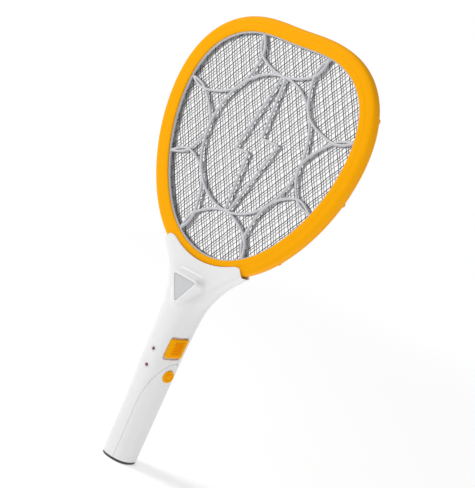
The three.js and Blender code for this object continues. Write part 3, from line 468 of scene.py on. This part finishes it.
for side_name, way in (("front", -1), ("back", 1)):
    make(f"head_{side_name}_ring_moulding", [window_band(ring_section(way), 560)],
         "orange_plastic", replaces=[f"head_{side_name}_ring"])

# Profiles as (radius, height): the screw from its tip to the floor of its drive recess.
SCREW_PROFILE = [(0, 0.0), (0.5, 0.0), (1.1, 0.8), (1.1, 4.0), (2.3, 4.0), (2.3, 5.35),
                 (2.15, 5.75), (1.7, 6.0), (1.15, 6.05), (1.0, 5.2), (0, 5.1)]
SEAT_PROFILE = [(2.55, -0.7), (2.55, 0.16), (2.8, 0.26), (3.1, 0.2), (3.35, -0.1), (3.35, -0.7),
                (2.55, -0.7)]


def screw(x, y, z):
    """A screw whose tip is at a point, with two crossed bars that stand in its drive recess."""
    parts = [turned(SCREW_PROFILE, (x, y, z), (0, 1, 0), 32)]
    for half_x, half_z in ((0.95, 0.2), (0.2, 0.95)):
        across, up = np.meshgrid([-half_x, half_x], [-half_z, half_z])
        top = np.stack([x + across, y + 5.8 + 0 * across, z + up], -1).reshape(-1, 3)
        parts.append(thick(top, top - [0, 0.5, 0], np.array([[0, 1, 3, 2]])))
    return parts


for i, degrees in enumerate(RING_SCREWS):
    x, z = window(np.array(math.radians(degrees)), (LIP_WIDTH + RING_WIDTH) / 2)
    make(f"ring_screw_{i + 1}_fine", screw(x, 1.6, z), "screw_steel",
         replaces=[f"ring_screw_{i + 1}"])
    make(f"ring_screw_seat_{i + 1}", [turned(SEAT_PROFILE, (x, 7.62, z), (0, 1, 0), 40)],
         "orange_plastic")


# ------------------------------------------------------------------ grids and spacers
def chord_ends(lean, places, offset):
    """Lowest and highest reach along a leaning family of lines, where each meets the window."""
    edge = window(np.linspace(0, 2 * np.pi, 3000), offset) - [0, GRID_MIDDLE]
    across = edge[:, 0] * math.cos(lean) - edge[:, 1] * math.sin(lean)
    along = edge[:, 0] * math.sin(lean) + edge[:, 1] * math.cos(lean)
    gap0, gap1 = across[None, :-1] - places[:, None], across[None, 1:] - places[:, None]
    meets = gap0 * gap1 < 0
    share = gap0 / (gap0 - gap1 + 1e-12)
    at = along[:-1] + (along[1:] - along[:-1]) * share
    return np.where(meets, at, 1e9).min(1), np.where(meets, at, -1e9).max(1)


def wire_family(lean, y, shift):
    """Parallel woven wires: straight in the head's plane, y = y0 + lift cos(pi s / crossing)."""
    hand = math.copysign(1, lean)
    count = int(WINDOW_HEIGHT / GRID_PITCH)
    index = np.arange(-count, count + 1)
    places = index * GRID_PITCH + shift * math.cos(lean)
    low, high = chord_ends(lean, places, WIRE_END)
    keep = high - low > GRID_PITCH
    index, places, low, high = index[keep], places[keep], low[keep], high[keep]
    steps = int(np.ceil((high - low).max() / CROSSING * WIRE_STEPS))
    s = low[:, None] + (high - low)[:, None] * np.linspace(0, 1, steps)
    start = index * CROSSING * math.cos(2 * lean) * hand
    lift = WEAVE_LIFT * np.cos(np.pi * ((s - start[:, None]) / CROSSING + index[:, None])) * hand
    turn = np.linspace(0, 2 * np.pi, WIRE_SIDES, endpoint=False) + 0.3
    across = places[:, None, None] + WIRE_RADIUS * np.cos(turn)
    deep = y + lift[:, :, None] + WIRE_RADIUS * np.sin(turn)
    x = across * math.cos(lean) + s[:, :, None] * math.sin(lean)
    z = GRID_MIDDLE - across * math.sin(lean) + s[:, :, None] * math.cos(lean)
    points = np.stack(np.broadcast_arrays(x, deep, z), -1)
    one = grid_faces(steps, WIRE_SIDES, False, True)
    ends = np.array([[0, 1, 2, 3], [0, 3, 4, 5]])
    one = np.concatenate([one, ends[:, ::-1], ends + (steps - 1) * WIRE_SIDES])
    faces = one[None] + (np.arange(len(index)) * steps * WIRE_SIDES)[:, None, None]
    return points.reshape(-1, 3), faces.reshape(-1, 4)


def rim_band(inner, outer, low, high, soft):
    """A flat ring round the window between two offsets and two depths, with soft corners."""
    corners = [(inner, low), (outer, low), (outer, high), (inner, high)]
    return window_band(softened(corners, soft, 2), 360)


for name, y in (("front_grid", -GRID_STEP), ("centre_grid", 0.0), ("back_grid", GRID_STEP)):
    shift = GRID_PITCH / 2 if y == 0 else 0.0
    families = [wire_family(lean, y, shift) for lean in (-GRID_LEAN, GRID_LEAN)]
    rim = rim_band(*GRID_RIM, y - GRID_RIM_HALF, y + GRID_RIM_HALF, 0.15)
    make(f"{name}_wires", families + [rim], "wire_steel", crease=60, replaces=[name])

for name, way in (("front_spacer", -1), ("back_spacer", 1)):
    low, high = sorted(way * depth for depth in SPACER_DEPTHS)
    make(f"{name}_band", [rim_band(*SPACER, low, high, 0.25)], "grey_plastic", replaces=[name])


# ------------------------------------------------------------------ guard grilles
def rib(path, face, way, closed=False):
    """A drafted rib along (x, z) points: a bevelled section set across the path's normal."""
    if closed:
        along = np.roll(path, -1, 0) - np.roll(path, 1, 0)
    else:
        along = np.gradient(path, axis=0)
    along /= np.linalg.norm(along, axis=1, keepdims=True)
    normal = np.stack([-along[:, 1], along[:, 0]], -1)
    half = RIB_WIDTH / 2
    section = softened([(-half, RIB_DEPTH), (-half * 0.8, 0), (half * 0.8, 0), (half, RIB_DEPTH)],
                       [0.1, 0.75, 0.75, 0.1], 3)
    xz = path[:, None] + normal[:, None] * section[None, :, :1]
    y = way * (face - section[:, 1]) + 0 * xz[..., 0]
    points = np.stack([xz[..., 0], y, xz[..., 1]], -1).reshape(-1, 3)
    faces = grid_faces(len(path), len(section), closed, True)
    if not closed:
        n, last = len(section), (len(path) - 1) * len(section)
        left = np.arange(n // 2 - 1)
        cap = np.stack([left, left + 1, n - 2 - left, n - 1 - left], -1)
        faces = np.concatenate([faces, cap[:, ::-1], cap + last])
    return points, faces


def spline(points, steps):
    """Catmull-Rom curve: each run is cubic, with slopes half the step between neighbours."""
    p = np.asarray(points, float)
    padded = np.vstack([p[0], p, p[-1]])
    t = np.linspace(0, 1, steps, endpoint=False)[None, :, None]
    a, b, c, d = (padded[k:len(padded) - 3 + k, None] for k in range(4))
    run = 0.5 * (2 * b + (c - a) * t + (2 * a - 5 * b + 4 * c - d) * t ** 2
                 + (3 * b - a - 3 * c + d) * t ** 3)
    return np.vstack([run.reshape(-1, 2), p[-1:]])


def scallop(a, b):
    """Down one spoke, round to the oval and back along the next spoke."""
    centre, size = np.array([0, OVAL_HEIGHT]), np.array(OVAL)
    to_middle = (a + b) / 2 - centre
    touch = centre + to_middle / np.linalg.norm(to_middle / size)
    ends = [p + (centre - p) * SPOKE_LENGTH / np.linalg.norm(centre - p) for p in (a, b)]
    return evenly(spline([a, ends[0], touch, ends[1], b], 24), 72)


BOLT_HALF = OVAL[1] - 1.3
BOLT = np.array([(3.5, 1), (6, 0.11), (28, 0.11), (4.5, -1), (-0.5, -1), (-2, -0.14), (-19, -0.16),
                 (-1, 1)]) * [1, BOLT_HALF] + [0, OVAL_HEIGHT]
spoke_degrees = list(SPOKE_ANGLES) + [360 - a for a in SPOKE_ANGLES[::-1]]
feet = [window(np.array(math.radians(a)), 1.0) for a in spoke_degrees]


def grille(way):
    """Rim, eight scallops that share their spokes, the oval and the bolt outline inside it."""
    face, (inside, outside) = GRILLE_FACE, GRILLE_RIM
    section = [(inside, face - RIB_DEPTH), (outside, face - RIB_DEPTH), (outside, face),
               (inside, face)]
    rim = window_band(softened(np.array(section) * [1, way], [0.3, 0.2, 0.2, 0.6], 3), 480)
    a = np.linspace(0, 2 * np.pi, 144, endpoint=False)
    oval = np.stack([OVAL[0] * np.sin(a), OVAL_HEIGHT + OVAL[1] * np.cos(a)], -1)
    parts = [rim, rib(oval, face + 0.04, way, closed=True)]
    for i, foot in enumerate(feet):
        sink = 0.03 * (i % 2)
        parts.append(rib(scallop(foot, feet[(i + 1) % 8]), face - sink, way))
    bolt = evenly(softened(BOLT, 2.2, 6), 300, closed=True)
    parts.append(rib(bolt, face + 0.08, way, closed=True))
    return parts


for side_name, way in (("front", -1), ("back", 1)):
    make(f"{side_name}_grille_moulding", grille(way), "grey_plastic", crease=50,
         replaces=[f"{side_name}_grille"])


# ------------------------------------------------------------------ handle shells
ARCH_STEP = np.linspace(0, np.pi / 2, 61)


def arch_curve():
    """Front edge of the side panel as (turn, height), a full quarter ellipse in azimuth."""
    edge = math.atan2(PANEL_EDGE, GRIP_RADIUS)
    azimuth = np.pi / 2 - (np.pi / 2 - edge) * np.cos(ARCH_STEP) ** (2 / ARCH_POWER)
    z = PANEL_STRAIGHT + (PANEL_TOP - PANEL_STRAIGHT) * np.sin(ARCH_STEP) ** (2 / ARCH_POWER)
    return turn_at(z, azimuth), z


ARCH_TURN, ARCH_Z = arch_curve()
EDGE_TURN = ARCH_TURN[0]
SEAM_TURN = math.radians(0.2)


def arch_height(turn):
    """Height of the side panel's top edge at a turn."""
    return np.interp(turn, ARCH_TURN[::-1], ARCH_Z[::-1])


def slide_across(turn, way):
    """Distance to the right of the slide's middle, for a turn of the form at its height."""
    p = form(SLIDE_HEIGHT, way * turn)
    return p[..., 0] * math.cos(SLIDE_TURN) + p[..., 1] * math.sin(SLIDE_TURN)


def corner_curl(share, half):
    """How far a rounded corner draws an edge in: r - sqrt(r^2 - d^2), d the way into the corner."""
    into = np.clip((np.abs(share) * half - (half - SLIDE_CORNER)) / SLIDE_CORNER, 0, 1)
    return SLIDE_CORNER * (1 - np.sqrt(1 - into ** 2))


def slide_edge_turn(across, way):
    """The turn at which the skin lies that far across the slide's middle, read from samples."""
    turns = np.linspace(SEAM_TURN, np.pi / 2, 3000)
    values = slide_across(turns, way)
    order = np.argsort(values)
    return float(np.interp(across, values[order], turns[order]))


def lesser(a, b, width):
    """The lesser of two heights, softened where they cross: (a + b - sqrt((a - b)^2 + w^2)) / 2."""
    return (a + b - np.sqrt((a - b) ** 2 + width ** 2)) / 2


def yoke_edge(x):
    """Top edge of the yoke: a level top, two falling ends and the dip under the strip of ring."""
    low = window(np.linspace(0.5 * np.pi, 1.5 * np.pi, 1500), YOKE_STRIP)
    low = low[np.argsort(low[:, 0])]
    dip = np.interp(x, low[:, 0], low[:, 1])
    end = YOKE_TOP - (np.abs(x) - YOKE_END) * YOKE_END_SLOPE
    return lesser(dip, lesser(YOKE_TOP, end, 1.2), 1.0)


def near_edges(columns, edges):
    """The column values with finer ones added on both sides of each edge."""
    fine = np.concatenate([e + s * FINE * 0.05 for e in edges for s in (-1, 1)])
    every = np.unique(np.round(np.concatenate([columns, fine]), 5))
    return every[(every >= columns.min()) & (every <= columns.max())]


def rows_between(low, high, count):
    """Heights from one edge curve to the next, with finer rows at both ends."""
    inner = np.linspace(0, 1, count + 2)[1:-1, None]
    start, stop = low + FINE[:, None], high - FINE[::-1, None]
    return np.vstack([start, start[-1] + (stop[0] - start[-1]) * inner, stop])


def handle_shell(way):
    """One half of the handle's skin with openings for the panel, the slide and the head."""
    slide_turn = slide_edge_turn(way * (SLIDE_WIDTH / 2 + GAP), way)
    base = np.concatenate([ARCH_TURN, np.linspace(SEAM_TURN, np.pi - SEAM_TURN, 190)])
    turn = near_edges(base[base >= SEAM_TURN],
                      [SEAM_TURN, np.pi - SEAM_TURN, EDGE_TURN, slide_turn])
    turn[np.abs(turn - EDGE_TURN).argmin()] = EDGE_TURN
    turn[np.abs(turn - slide_turn).argmin()] = slide_turn
    edge_column = int(np.abs(turn - EDGE_TURN).argmin())
    slide_column = int(np.abs(turn - slide_turn).argmin())

    grown = np.where(turn < EDGE_TURN, arch_height(turn) + GAP, PANEL_STRAIGHT)
    grown = np.maximum(grown, PANEL_STRAIGHT)
    across = np.clip(slide_across(turn, way) / (SLIDE_WIDTH / 2 + GAP), -1, 1)
    reach = SLIDE_LENGTH / 2 + SLIDE_TRAVEL + GAP
    curl = corner_curl(across, SLIDE_WIDTH / 2)
    slide_low = SLIDE_HEIGHT - reach + across * SLIDE_SLANT / 2 + curl
    slide_high = SLIDE_HEIGHT + reach + across * SLIDE_SLANT / 2 - curl
    samples = np.linspace(YOKE_EDGE_FROM, YOKE_TOP, 400)[:, None]
    over = samples >= yoke_edge(form(samples, way * turn)[..., 0])
    over[-1] = True
    top = samples[over.argmax(0), 0]

    blocks = [rows_between(SHELL_FOOT + 0 * turn, PANEL_STRAIGHT + 0 * turn, 24),
              rows_between(grown, slide_low, 34), rows_between(slide_low, slide_high, 16),
              rows_between(slide_high, top, 90)]
    count = [len(b) for b in blocks]
    z = np.vstack(blocks)
    keep_rows = np.concatenate([[True], np.diff(z[:, -1]) > 1e-6])
    row_block = np.repeat(np.arange(4), count)[keep_rows]
    z = z[keep_rows]

    x_edge = form(z, way * EDGE_TURN)
    skin = form(z, way * turn)
    from_edge = np.where(turn >= EDGE_TURN, np.linalg.norm(skin - x_edge, axis=-1), 0)
    slope = np.gradient(grown, turn) / GRIP_RADIUS
    from_arch = np.where(turn < EDGE_TURN, (z - grown) / np.sqrt(1 + slope ** 2),
                         np.hypot(from_edge, np.clip(z - PANEL_STRAIGHT, 0, None)))
    from_slide = np.hypot(np.clip(np.maximum(slide_low - z, z - slide_high), 0, None),
                          np.where(turn > slide_turn,
                                   np.abs(turn - slide_turn) * GRIP_RADIUS, 0))
    near = np.minimum.reduce([np.clip(from_arch, 0, None) * EDGE_SOFT / PANEL_SOFT, from_slide,
                              top - z, z - SHELL_FOOT])
    from_seam = np.minimum(turn - SEAM_TURN, np.pi - SEAM_TURN - turn) * GRIP_RADIUS
    inset = np.maximum(rounded(near, EDGE_SOFT), rounded(from_seam + 0 * z, SEAM_SOFT))
    outer, inner = form(z, way * turn, inset), form(z, way * turn, WALL)
    parting = way * GAP / 2
    for surface in (outer, inner):
        surface[:, 0, 1] = surface[:, -1, 1] = parting

    faces = grid_faces(len(z), len(turn))
    row, column = np.divmod(faces[:, 0], len(turn))
    block = np.minimum(row_block[row], row_block[np.minimum(row + 1, len(z) - 1)])
    in_panel = (block == 0) & (column < edge_column)
    in_slide = (block == 2) & (column < slide_column)
    faces = faces[~(in_panel | in_slide)]
    return outer.reshape(-1, 3), inner.reshape(-1, 3), faces


def pierced(outer, inner, faces, origin, axis, radius):
    """Opens a round hole: faces near the axis go, and the points around them meet its edge.

    A point at o + h n + w moves to o + h n + r w / |w|, so it keeps its place along the axis.
    """
    axis = np.array(axis, float)

    def split(points):
        along = (points - origin) @ axis
        return along, points - origin - along[:, None] * axis

    along, away = split(outer)
    reach = np.linalg.norm(away, axis=1)
    gone = (reach[faces].mean(1) < radius) & (along > 0)[faces].all(1)
    edge = np.intersect1d(faces[gone], faces[~gone])
    for surface in (outer, inner):
        along, away = split(surface[edge])
        away *= radius / np.linalg.norm(away, axis=1, keepdims=True)
        surface[edge] = origin + along[:, None] * axis + away
    return faces[~gone]


for side_name, way in (("front", -1), ("back", 1)):
    outer, inner, faces = handle_shell(way)
    if way > 0:
        for x, z in HANDLE_SCREWS:
            faces = pierced(outer, inner, faces, (x, way, z), (0, way, 0), SCREW_HOLE)
    make(f"handle_{side_name}_moulding", [thick(outer, inner, faces)], "white_plastic",
         crease=40, replaces=[f"handle_{side_name}_shell"])

for i, (x, z) in enumerate(HANDLE_SCREWS):
    skin_y = float(skin_depth(np.array(x), np.array(z), 1))
    well = [(2.35, 3.0), (2.35, skin_y - 0.1), (2.5, skin_y + 0.12), (2.75, skin_y + 0.16),
            (3.05, skin_y - 0.05), (3.05, 3.0), (2.35, 3.0)]
    make(f"handle_screw_well_{i + 1}", [turned(well, (x, 0, z), (0, 1, 0), 40)], "white_plastic")
    make(f"handle_screw_{i + 1}_fine", screw(x, -1.2, z), "screw_steel",
         replaces=[f"handle_screw_{i + 1}"])


def side_panel():
    """The grip's removable side: a wrapped sheet whose top is the arch, from edge to edge."""
    half = np.concatenate([ARCH_TURN, [0.0]])
    half = near_edges(half, [EDGE_TURN, 0.0])
    turn = np.concatenate([-half[::-1], half[1:]])
    top = np.where(np.abs(turn) >= EDGE_TURN, PANEL_STRAIGHT, arch_height(np.abs(turn)))
    z = rows_between(SHELL_FOOT + 0 * turn, top, 110)
    slope = np.gradient(top, np.abs(turn) + 1e-9)
    slope = np.where(np.isfinite(slope), slope, 0) / GRIP_RADIUS
    from_edge = (EDGE_TURN - np.abs(turn)) * GRIP_RADIUS
    from_top = (top - z) / np.sqrt(1 + slope ** 2)
    inset = rounded(np.minimum.reduce([from_top, from_edge + 0 * z, z - SHELL_FOOT]), PANEL_SOFT)
    outer, inner = form(z, turn, inset), form(z, turn, WALL)
    faces = grid_faces(len(z), len(turn))
    return outer.reshape(-1, 3), inner.reshape(-1, 3), faces


button_axis = (math.sin(BUTTON_TURN), -math.cos(BUTTON_TURN), 0)
outer, inner, faces = side_panel()
faces = pierced(outer, inner, faces, (0, 0, BUTTON_HEIGHT), button_axis, BUTTON_RADIUS + GAP)
make("side_panel_moulding", [thick(outer, inner, faces)], "white_plastic", crease=40,
     replaces=["side_panel"])


# ------------------------------------------------------------------ end cap
def end_cap():
    """Rounded foot of the handle: rings of the form drawn in to a round hole for the socket."""
    turn = np.linspace(0, 2 * np.pi, 160, endpoint=False)
    run = softened([(2.2, 2.4), (0.45, 2.4), (0.4, 0.0), (5.0, 0.0)], [0.2, 0.2, 1.2, 0.2], 6,
                   closed=False)
    rings = [np.stack([*form(z, turn, inset).T[:2], z + 0 * turn], -1) for inset, z in run]
    spin = np.arctan2(rings[-1][:, 1], rings[-1][:, 0])
    for z in (0.0, 0.5, 8.0):
        rings.append(np.stack([3.3 * np.cos(spin), 3.3 * np.sin(spin), z + 0 * spin], -1))
    points = np.array(rings)
    faces = grid_faces(len(points), len(turn), False, True)
    inner = points * [0.9, 0.9, 1] + [0, 0, 1.2]
    inner[-3:] = points[-3:] * [1.4, 1.4, 1]
    inner[-3:-1, :, 2] = 1.5
    return thick(points.reshape(-1, 3), inner.reshape(-1, 3), faces)


make("end_cap_moulding", [end_cap()], "dark_plastic", replaces=["end_cap"])
make("charging_socket_fine", [turned(
    [(0, 11), (2.9, 11), (3.0, 10.8), (3.0, 0.8), (2.8, 0.6), (1.9, 0.6), (1.7, 0.8), (1.7, 9),
     (0.5, 9), (0.5, 2.0), (0.3, 1.6), (0, 1.6)], (0, 0, 0), (0, 0, 1), 40)], "bright_steel",
    replaces=["charging_socket"])


# ------------------------------------------------------------------ lamp
def lamp_outline(grow):
    """Triangle, apex down: three arcs of the corner radius plus a push outwards, joined up."""
    corners = np.array([(-LAMP_WIDTH / 2, LAMP_HEIGHT / 3), (0, -LAMP_HEIGHT * 2 / 3),
                        (LAMP_WIDTH / 2, LAMP_HEIGHT / 3)])
    slope = math.hypot(LAMP_WIDTH / 2, LAMP_HEIGHT)
    inradius = LAMP_WIDTH * LAMP_HEIGHT / (LAMP_WIDTH + 2 * slope)
    core = corners * (1 - LAMP_CORNER / inradius)
    points = []
    for k, corner in enumerate(core):
        into, out = corner - core[(k + 2) % 3], core[(k + 1) % 3] - corner
        start, stop = math.atan2(-into[0], into[1]), math.atan2(-out[0], out[1])
        stop += 2 * math.pi if stop < start else 0
        a = np.linspace(start, stop, 33)
        points.append(corner + (LAMP_CORNER + grow) * np.stack([np.cos(a), np.sin(a)], -1))
    return evenly(np.concatenate(points), 192, closed=True) + [0, LAMP_TOP - LAMP_HEIGHT / 3]


def lamp_frame():
    """Plateau with a lens pocket: y = (1 - s) face + s skin, s rising with the outward push."""
    slope = softened([(-1.0, 0), (0.3, 0), (4.6, 7), (9.0, 7)], [0.1, 0.7, 2.6, 0.1], 10,
                     closed=False)
    pocket = [(-LAMP_RIM, 0, 2.4), (-LAMP_RIM, 0, 0.35), (0.07 - LAMP_RIM, 0, 0.12),
              (0.22 - LAMP_RIM, 0, 0.0)]
    profile = pocket + [(g, s / 7, 0.3 * max(0.0, (g - 7.5) / 1.5)) for g, s in slope]
    rings = []
    for grow, share, sink in profile:
        xz = lamp_outline(grow)
        skin = skin_depth(xz[:, 0], xz[:, 1], -1)
        y = -((1 - share) * LAMP_FACE + share * skin - sink)
        rings.append(np.stack([xz[:, 0], y, xz[:, 1]], -1))
    outer = np.array(rings)
    inner = outer.copy()
    inner[..., 1] += 1.4
    inner[:2, :, 1] = outer[0, :, 1] + 0.4
    faces = grid_faces(len(rings), outer.shape[1], False, True)
    return thick(outer.reshape(-1, 3), inner.reshape(-1, 3), faces)


def plate(edge, front, back, crown, steps=10):
    """A thin crowned plate in the xz plane: rings of its outline, drawn in to one middle point."""
    middle = edge.mean(0)
    shares = np.concatenate([[1.0, 0.985, 0.96], np.linspace(0.9, 0.12, steps)])
    drop = np.concatenate([[0.3, 0.08, 0.0], np.zeros(steps)])
    xz = middle + (edge - middle) * shares[:, None, None]
    y = -(front - drop + crown * (1 - shares ** 2))[:, None] + 0 * xz[..., 0]
    outer = np.stack([xz[..., 0], y, xz[..., 1]], -1).reshape(-1, 3)
    outer = np.vstack([outer, [middle[0], -(front + crown), middle[1]]])
    inner = outer * [1, 0, 1] - [0, back, 0]
    n = len(edge)
    faces = grid_faces(len(shares), n, False, True)
    last = (len(shares) - 1) * n + np.arange(n)
    tip = np.full(n, len(outer) - 1)
    fan = np.stack([last, np.roll(last, -1), tip, tip], -1)
    return thick(outer, inner, np.concatenate([faces, fan]))


make("lamp_frame", [lamp_frame()], "white_plastic", crease=40)
make("lamp_lens_plate", [plate(lamp_outline(-LAMP_RIM - 0.25), LAMP_FACE - 0.35,
                               LAMP_FACE - 2.2, 0.15)], "frosted_lens", replaces=["lamp_lens"])


# ------------------------------------------------------------------ indicators
for name, z in INDICATOR_HEIGHTS.items():
    face = float(skin_depth(np.array(0.0), np.array(z), -1))
    origin, axis = (0, -face, z), (0, -1, 0)
    ring = [(2.15, -0.5), (2.15, -0.05), (2.22, 0.1), (2.4, 0.26), (2.7, 0.3), (2.95, 0.18),
            (3.15, -0.15), (3.15, -0.5), (2.15, -0.5)]
    make(f"indicator_ring_{name}", [turned(ring, origin, axis, 56)], "white_plastic")
    dome = [(0, -6), (1.7, -6)] + [(1.7 * math.cos(a), 0.1 + 1.15 * math.sin(a))
                                   for a in np.linspace(0, math.pi / 2, 10)[:-1]] + [(0, 1.25)]
    make(f"indicator_dome_{name}", [turned(dome, origin, axis, 40)], "red_lens",
         replaces=[f"indicator_{name}"])


# ------------------------------------------------------------------ slide
def slide_patch(rise, grow, columns, rows):
    """Points at a height above the skin, between the slide's slanted edges and curled corners."""
    edge = SLIDE_WIDTH / 2 + grow
    across = np.linspace(-edge, edge, columns) if np.ndim(columns) == 0 else columns * edge
    up = np.linspace(-1, 1, rows)[:, None] if np.ndim(rows) == 0 else rows[:, None]
    across = across * (1 - corner_curl(up, SLIDE_LENGTH / 2) / edge)
    reach = skin_reach(SLIDE_HEIGHT, SLIDE_TURN + across / SLIDE_REACH)
    azimuth = SLIDE_TURN + np.arcsin(across / reach)
    z = SLIDE_HEIGHT + up * (SLIDE_LENGTH / 2 + grow) + across / SLIDE_WIDTH * SLIDE_SLANT
    radius = skin_reach(z, azimuth) + rise
    return np.stack([radius * np.sin(azimuth), -radius * np.cos(azimuth), z], -1)


def slide_knob():
    """Curved plate with eight ribs: rise = 1.35 + 1.3 (rib - 0.6) fade - the edge's rounding.

    The ribs are raised cosines along the handle and fade out before both side margins.
    """
    fine = FINE / (SLIDE_LENGTH / 2)
    rows = np.concatenate([-1 + fine, np.linspace(-0.9, 0.9, 190), 1 - fine[::-1]])
    columns = np.concatenate([-1 + fine, np.linspace(-0.9, 0.9, 60), 1 - fine[::-1]])
    ribbed = 0.5 - 0.5 * np.cos(2 * np.pi * (rows + SLIDE_RIB_FIELD) / SLIDE_RIB_STEP)
    ribbed = np.where(np.abs(rows) < SLIDE_RIB_FIELD, ribbed ** 0.7, 0)[:, None]
    fade = 1 / (1 + np.exp(-(columns + 0.45) / 0.03)) / (1 + np.exp((columns - 0.6) / 0.03))
    edge = np.minimum((1 - np.abs(rows))[:, None], 1 - np.abs(columns)) * SLIDE_LENGTH / 2
    rise = 1.35 + 1.3 * (ribbed - 0.6) * fade - rounded(edge, 1.0)
    top = slide_patch(rise, 0.0, columns, rows)
    under = slide_patch(KNOB_UNDERSIDE, 0.0, columns, rows)
    return thick(top.reshape(-1, 3), under.reshape(-1, 3), grid_faces(len(rows), len(columns)))


def slide_shield():
    """Grey plate that travels under the skin with the knob and closes its window; its grey is
    partly painted shade, standing in for the shadowed gap round the knob.
    """
    top, under = (slide_patch(level, SHIELD_GROWTH, 40, 40) for level in SHIELD_LEVELS)
    return thick(top.reshape(-1, 3), under.reshape(-1, 3), grid_faces(40, 40))


make("slide_knob_moulding", [slide_knob()], "orange_plastic", body="slide", crease=50,
     replaces=["slide_knob"])
# Partly painted shade: the grey plate fills the slide's gap, where the real gap shows mostly
# shadow.
make("slide_shield", [slide_shield()], "grey_plastic", body="slide")


# ------------------------------------------------------------------ push button
button_skin = float(skin_reach(BUTTON_HEIGHT, BUTTON_TURN))
flange = BUTTON_RADIUS + 0.6
button_run = [(0, -4.4), (flange - 0.1, -4.4), (flange, -4.0), (flange - 0.1, -3.4),
              (BUTTON_RADIUS, -3.4)]
button_run += [tuple(p) for p in softened(
    [(BUTTON_RADIUS, -3.4), (BUTTON_RADIUS, 1.7), (4.6, 1.75), (4.2, 0.75), (3.5, 0.75),
     (3.1, 1.7), (1.0, 1.9), (0.6, 1.5), (0, 1.45)],
    [0, 0.9, 0.2, 0.2, 0.2, 0.3, 0.2, 0.2, 0], 5, closed=False)]
button_origin = (button_skin * button_axis[0], button_skin * button_axis[1], BUTTON_HEIGHT)
make("push_button_moulding", [turned(button_run, button_origin, button_axis, 72)],
     "orange_plastic", body="button", crease=45, replaces=["push_button"])


# ------------------------------------------------------------------ camera, floor and light
def product_camera():
    """Looks at the racket from its front right, a little from above, leaning with its tilt."""
    azimuth, elevation, roll = (math.radians(a) for a in (32.0, 5.402, 23.819))
    distance, sensor, lens = 1216.23, 36.0, 89.3179
    target = Vector((28.227, AXIS_BACK, 261.49))
    back = Vector((math.sin(azimuth) * math.cos(elevation),
                   -math.cos(azimuth) * math.cos(elevation), math.sin(elevation)))
    right = Vector((math.cos(azimuth), math.sin(azimuth), 0))
    up = back.cross(right)
    across = right * math.cos(roll) + up * math.sin(roll)
    above = up * math.cos(roll) - right * math.sin(roll)
    data = bpy.data.cameras.new("camera")
    data.sensor_fit = "HORIZONTAL"
    data.sensor_width, data.lens = sensor, lens
    data.clip_start, data.clip_end = 0.05, 100
    camera = bpy.data.objects.new("camera", data)
    camera.matrix_world = Matrix((
        (across.x, above.x, back.x, (target.x + back.x * distance) * 0.001),
        (across.y, above.y, back.y, (target.y + back.y * distance) * 0.001),
        (across.z, above.z, back.z, (target.z + back.z * distance) * 0.001),
        (0, 0, 0, 1)))
    bpy.context.scene.collection.objects.link(camera)
    bpy.context.scene.camera = camera


def area_light(name, place, aim, size, power):
    """A square soft light in metres and watts that faces its aim."""
    data = bpy.data.lights.new(name, "AREA")
    data.size, data.energy = size, power
    light = bpy.data.objects.new(name, data)
    light.location = place
    toward = Vector(aim) - Vector(place)
    light.rotation_mode = "QUATERNION"
    light.rotation_quaternion = toward.to_track_quat("-Z", "Y")
    bpy.context.scene.collection.objects.link(light)


def brighter_far_out(m, near, far):
    """Lifts the floor's own glow with distance, so that it meets the backdrop unseen."""
    nodes, links = m.node_tree.nodes, m.node_tree.links
    where = nodes.new("ShaderNodeTexCoord").outputs["Object"]
    reach = nodes.new("ShaderNodeVectorMath")
    reach.operation = "LENGTH"
    links.new(where, reach.inputs[0])
    glow = nodes.new("ShaderNodeMapRange")
    glow.inputs["From Min"].default_value = 0.3
    glow.inputs["From Max"].default_value = 3.0
    glow.inputs["To Min"].default_value = near
    glow.inputs["To Max"].default_value = far
    links.new(reach.outputs["Value"], glow.inputs["Value"])
    links.new(glow.outputs["Result"], nodes["Principled BSDF"].inputs["Emission Strength"])


def studio():
    """A pale round floor under a pale sky, a large soft key from the upper left and a fill."""
    floor = turned([(0, -12), (30000, -12), (30000, 0), (0, 0)], (0, 0, 0), (0, 0, 1), 96)
    mesh = bpy.data.meshes.new("floor")
    mesh.from_pydata((floor[0] * 0.001).tolist(), [],
                     [list(dict.fromkeys(f)) for f in outward(*floor).tolist()])
    paper = material("floor_paper", (0.93, 0.93, 0.93), 0.6, 400.0, mottle=0.004,
                     Emission_Color=(1, 1, 1, 1))
    brighter_far_out(paper, FLOOR_NEAR, FLOOR_FAR)
    mesh.materials.append(paper)
    ground = bpy.data.objects.new("floor", mesh)
    bpy.context.scene.collection.objects.link(ground)
    area_light("key", (-1.25, -0.8, 1.5), (0, 0, 0.28), 0.7, 16.0)
    area_light("fill", (1.6, -1.2, 0.7), (0, 0, 0.25), 1.6, 5.0)
    world = bpy.data.worlds.new("sky")
    world.use_nodes = True
    nodes, links = world.node_tree.nodes, world.node_tree.links
    seen = nodes.new("ShaderNodeLightPath")
    strength = nodes.new("ShaderNodeMapRange")
    strength.inputs["To Min"].default_value = SKY_LIGHT
    strength.inputs["To Max"].default_value = SKY_SEEN
    links.new(seen.outputs["Is Camera Ray"], strength.inputs["Value"])
    links.new(strength.outputs["Result"], nodes["Background"].inputs["Strength"])
    nodes["Background"].inputs["Color"].default_value = (1, 1, 1, 1)
    bpy.context.scene.world = world
    bpy.context.scene.view_settings.view_transform = "Standard"


product_camera()
studio()
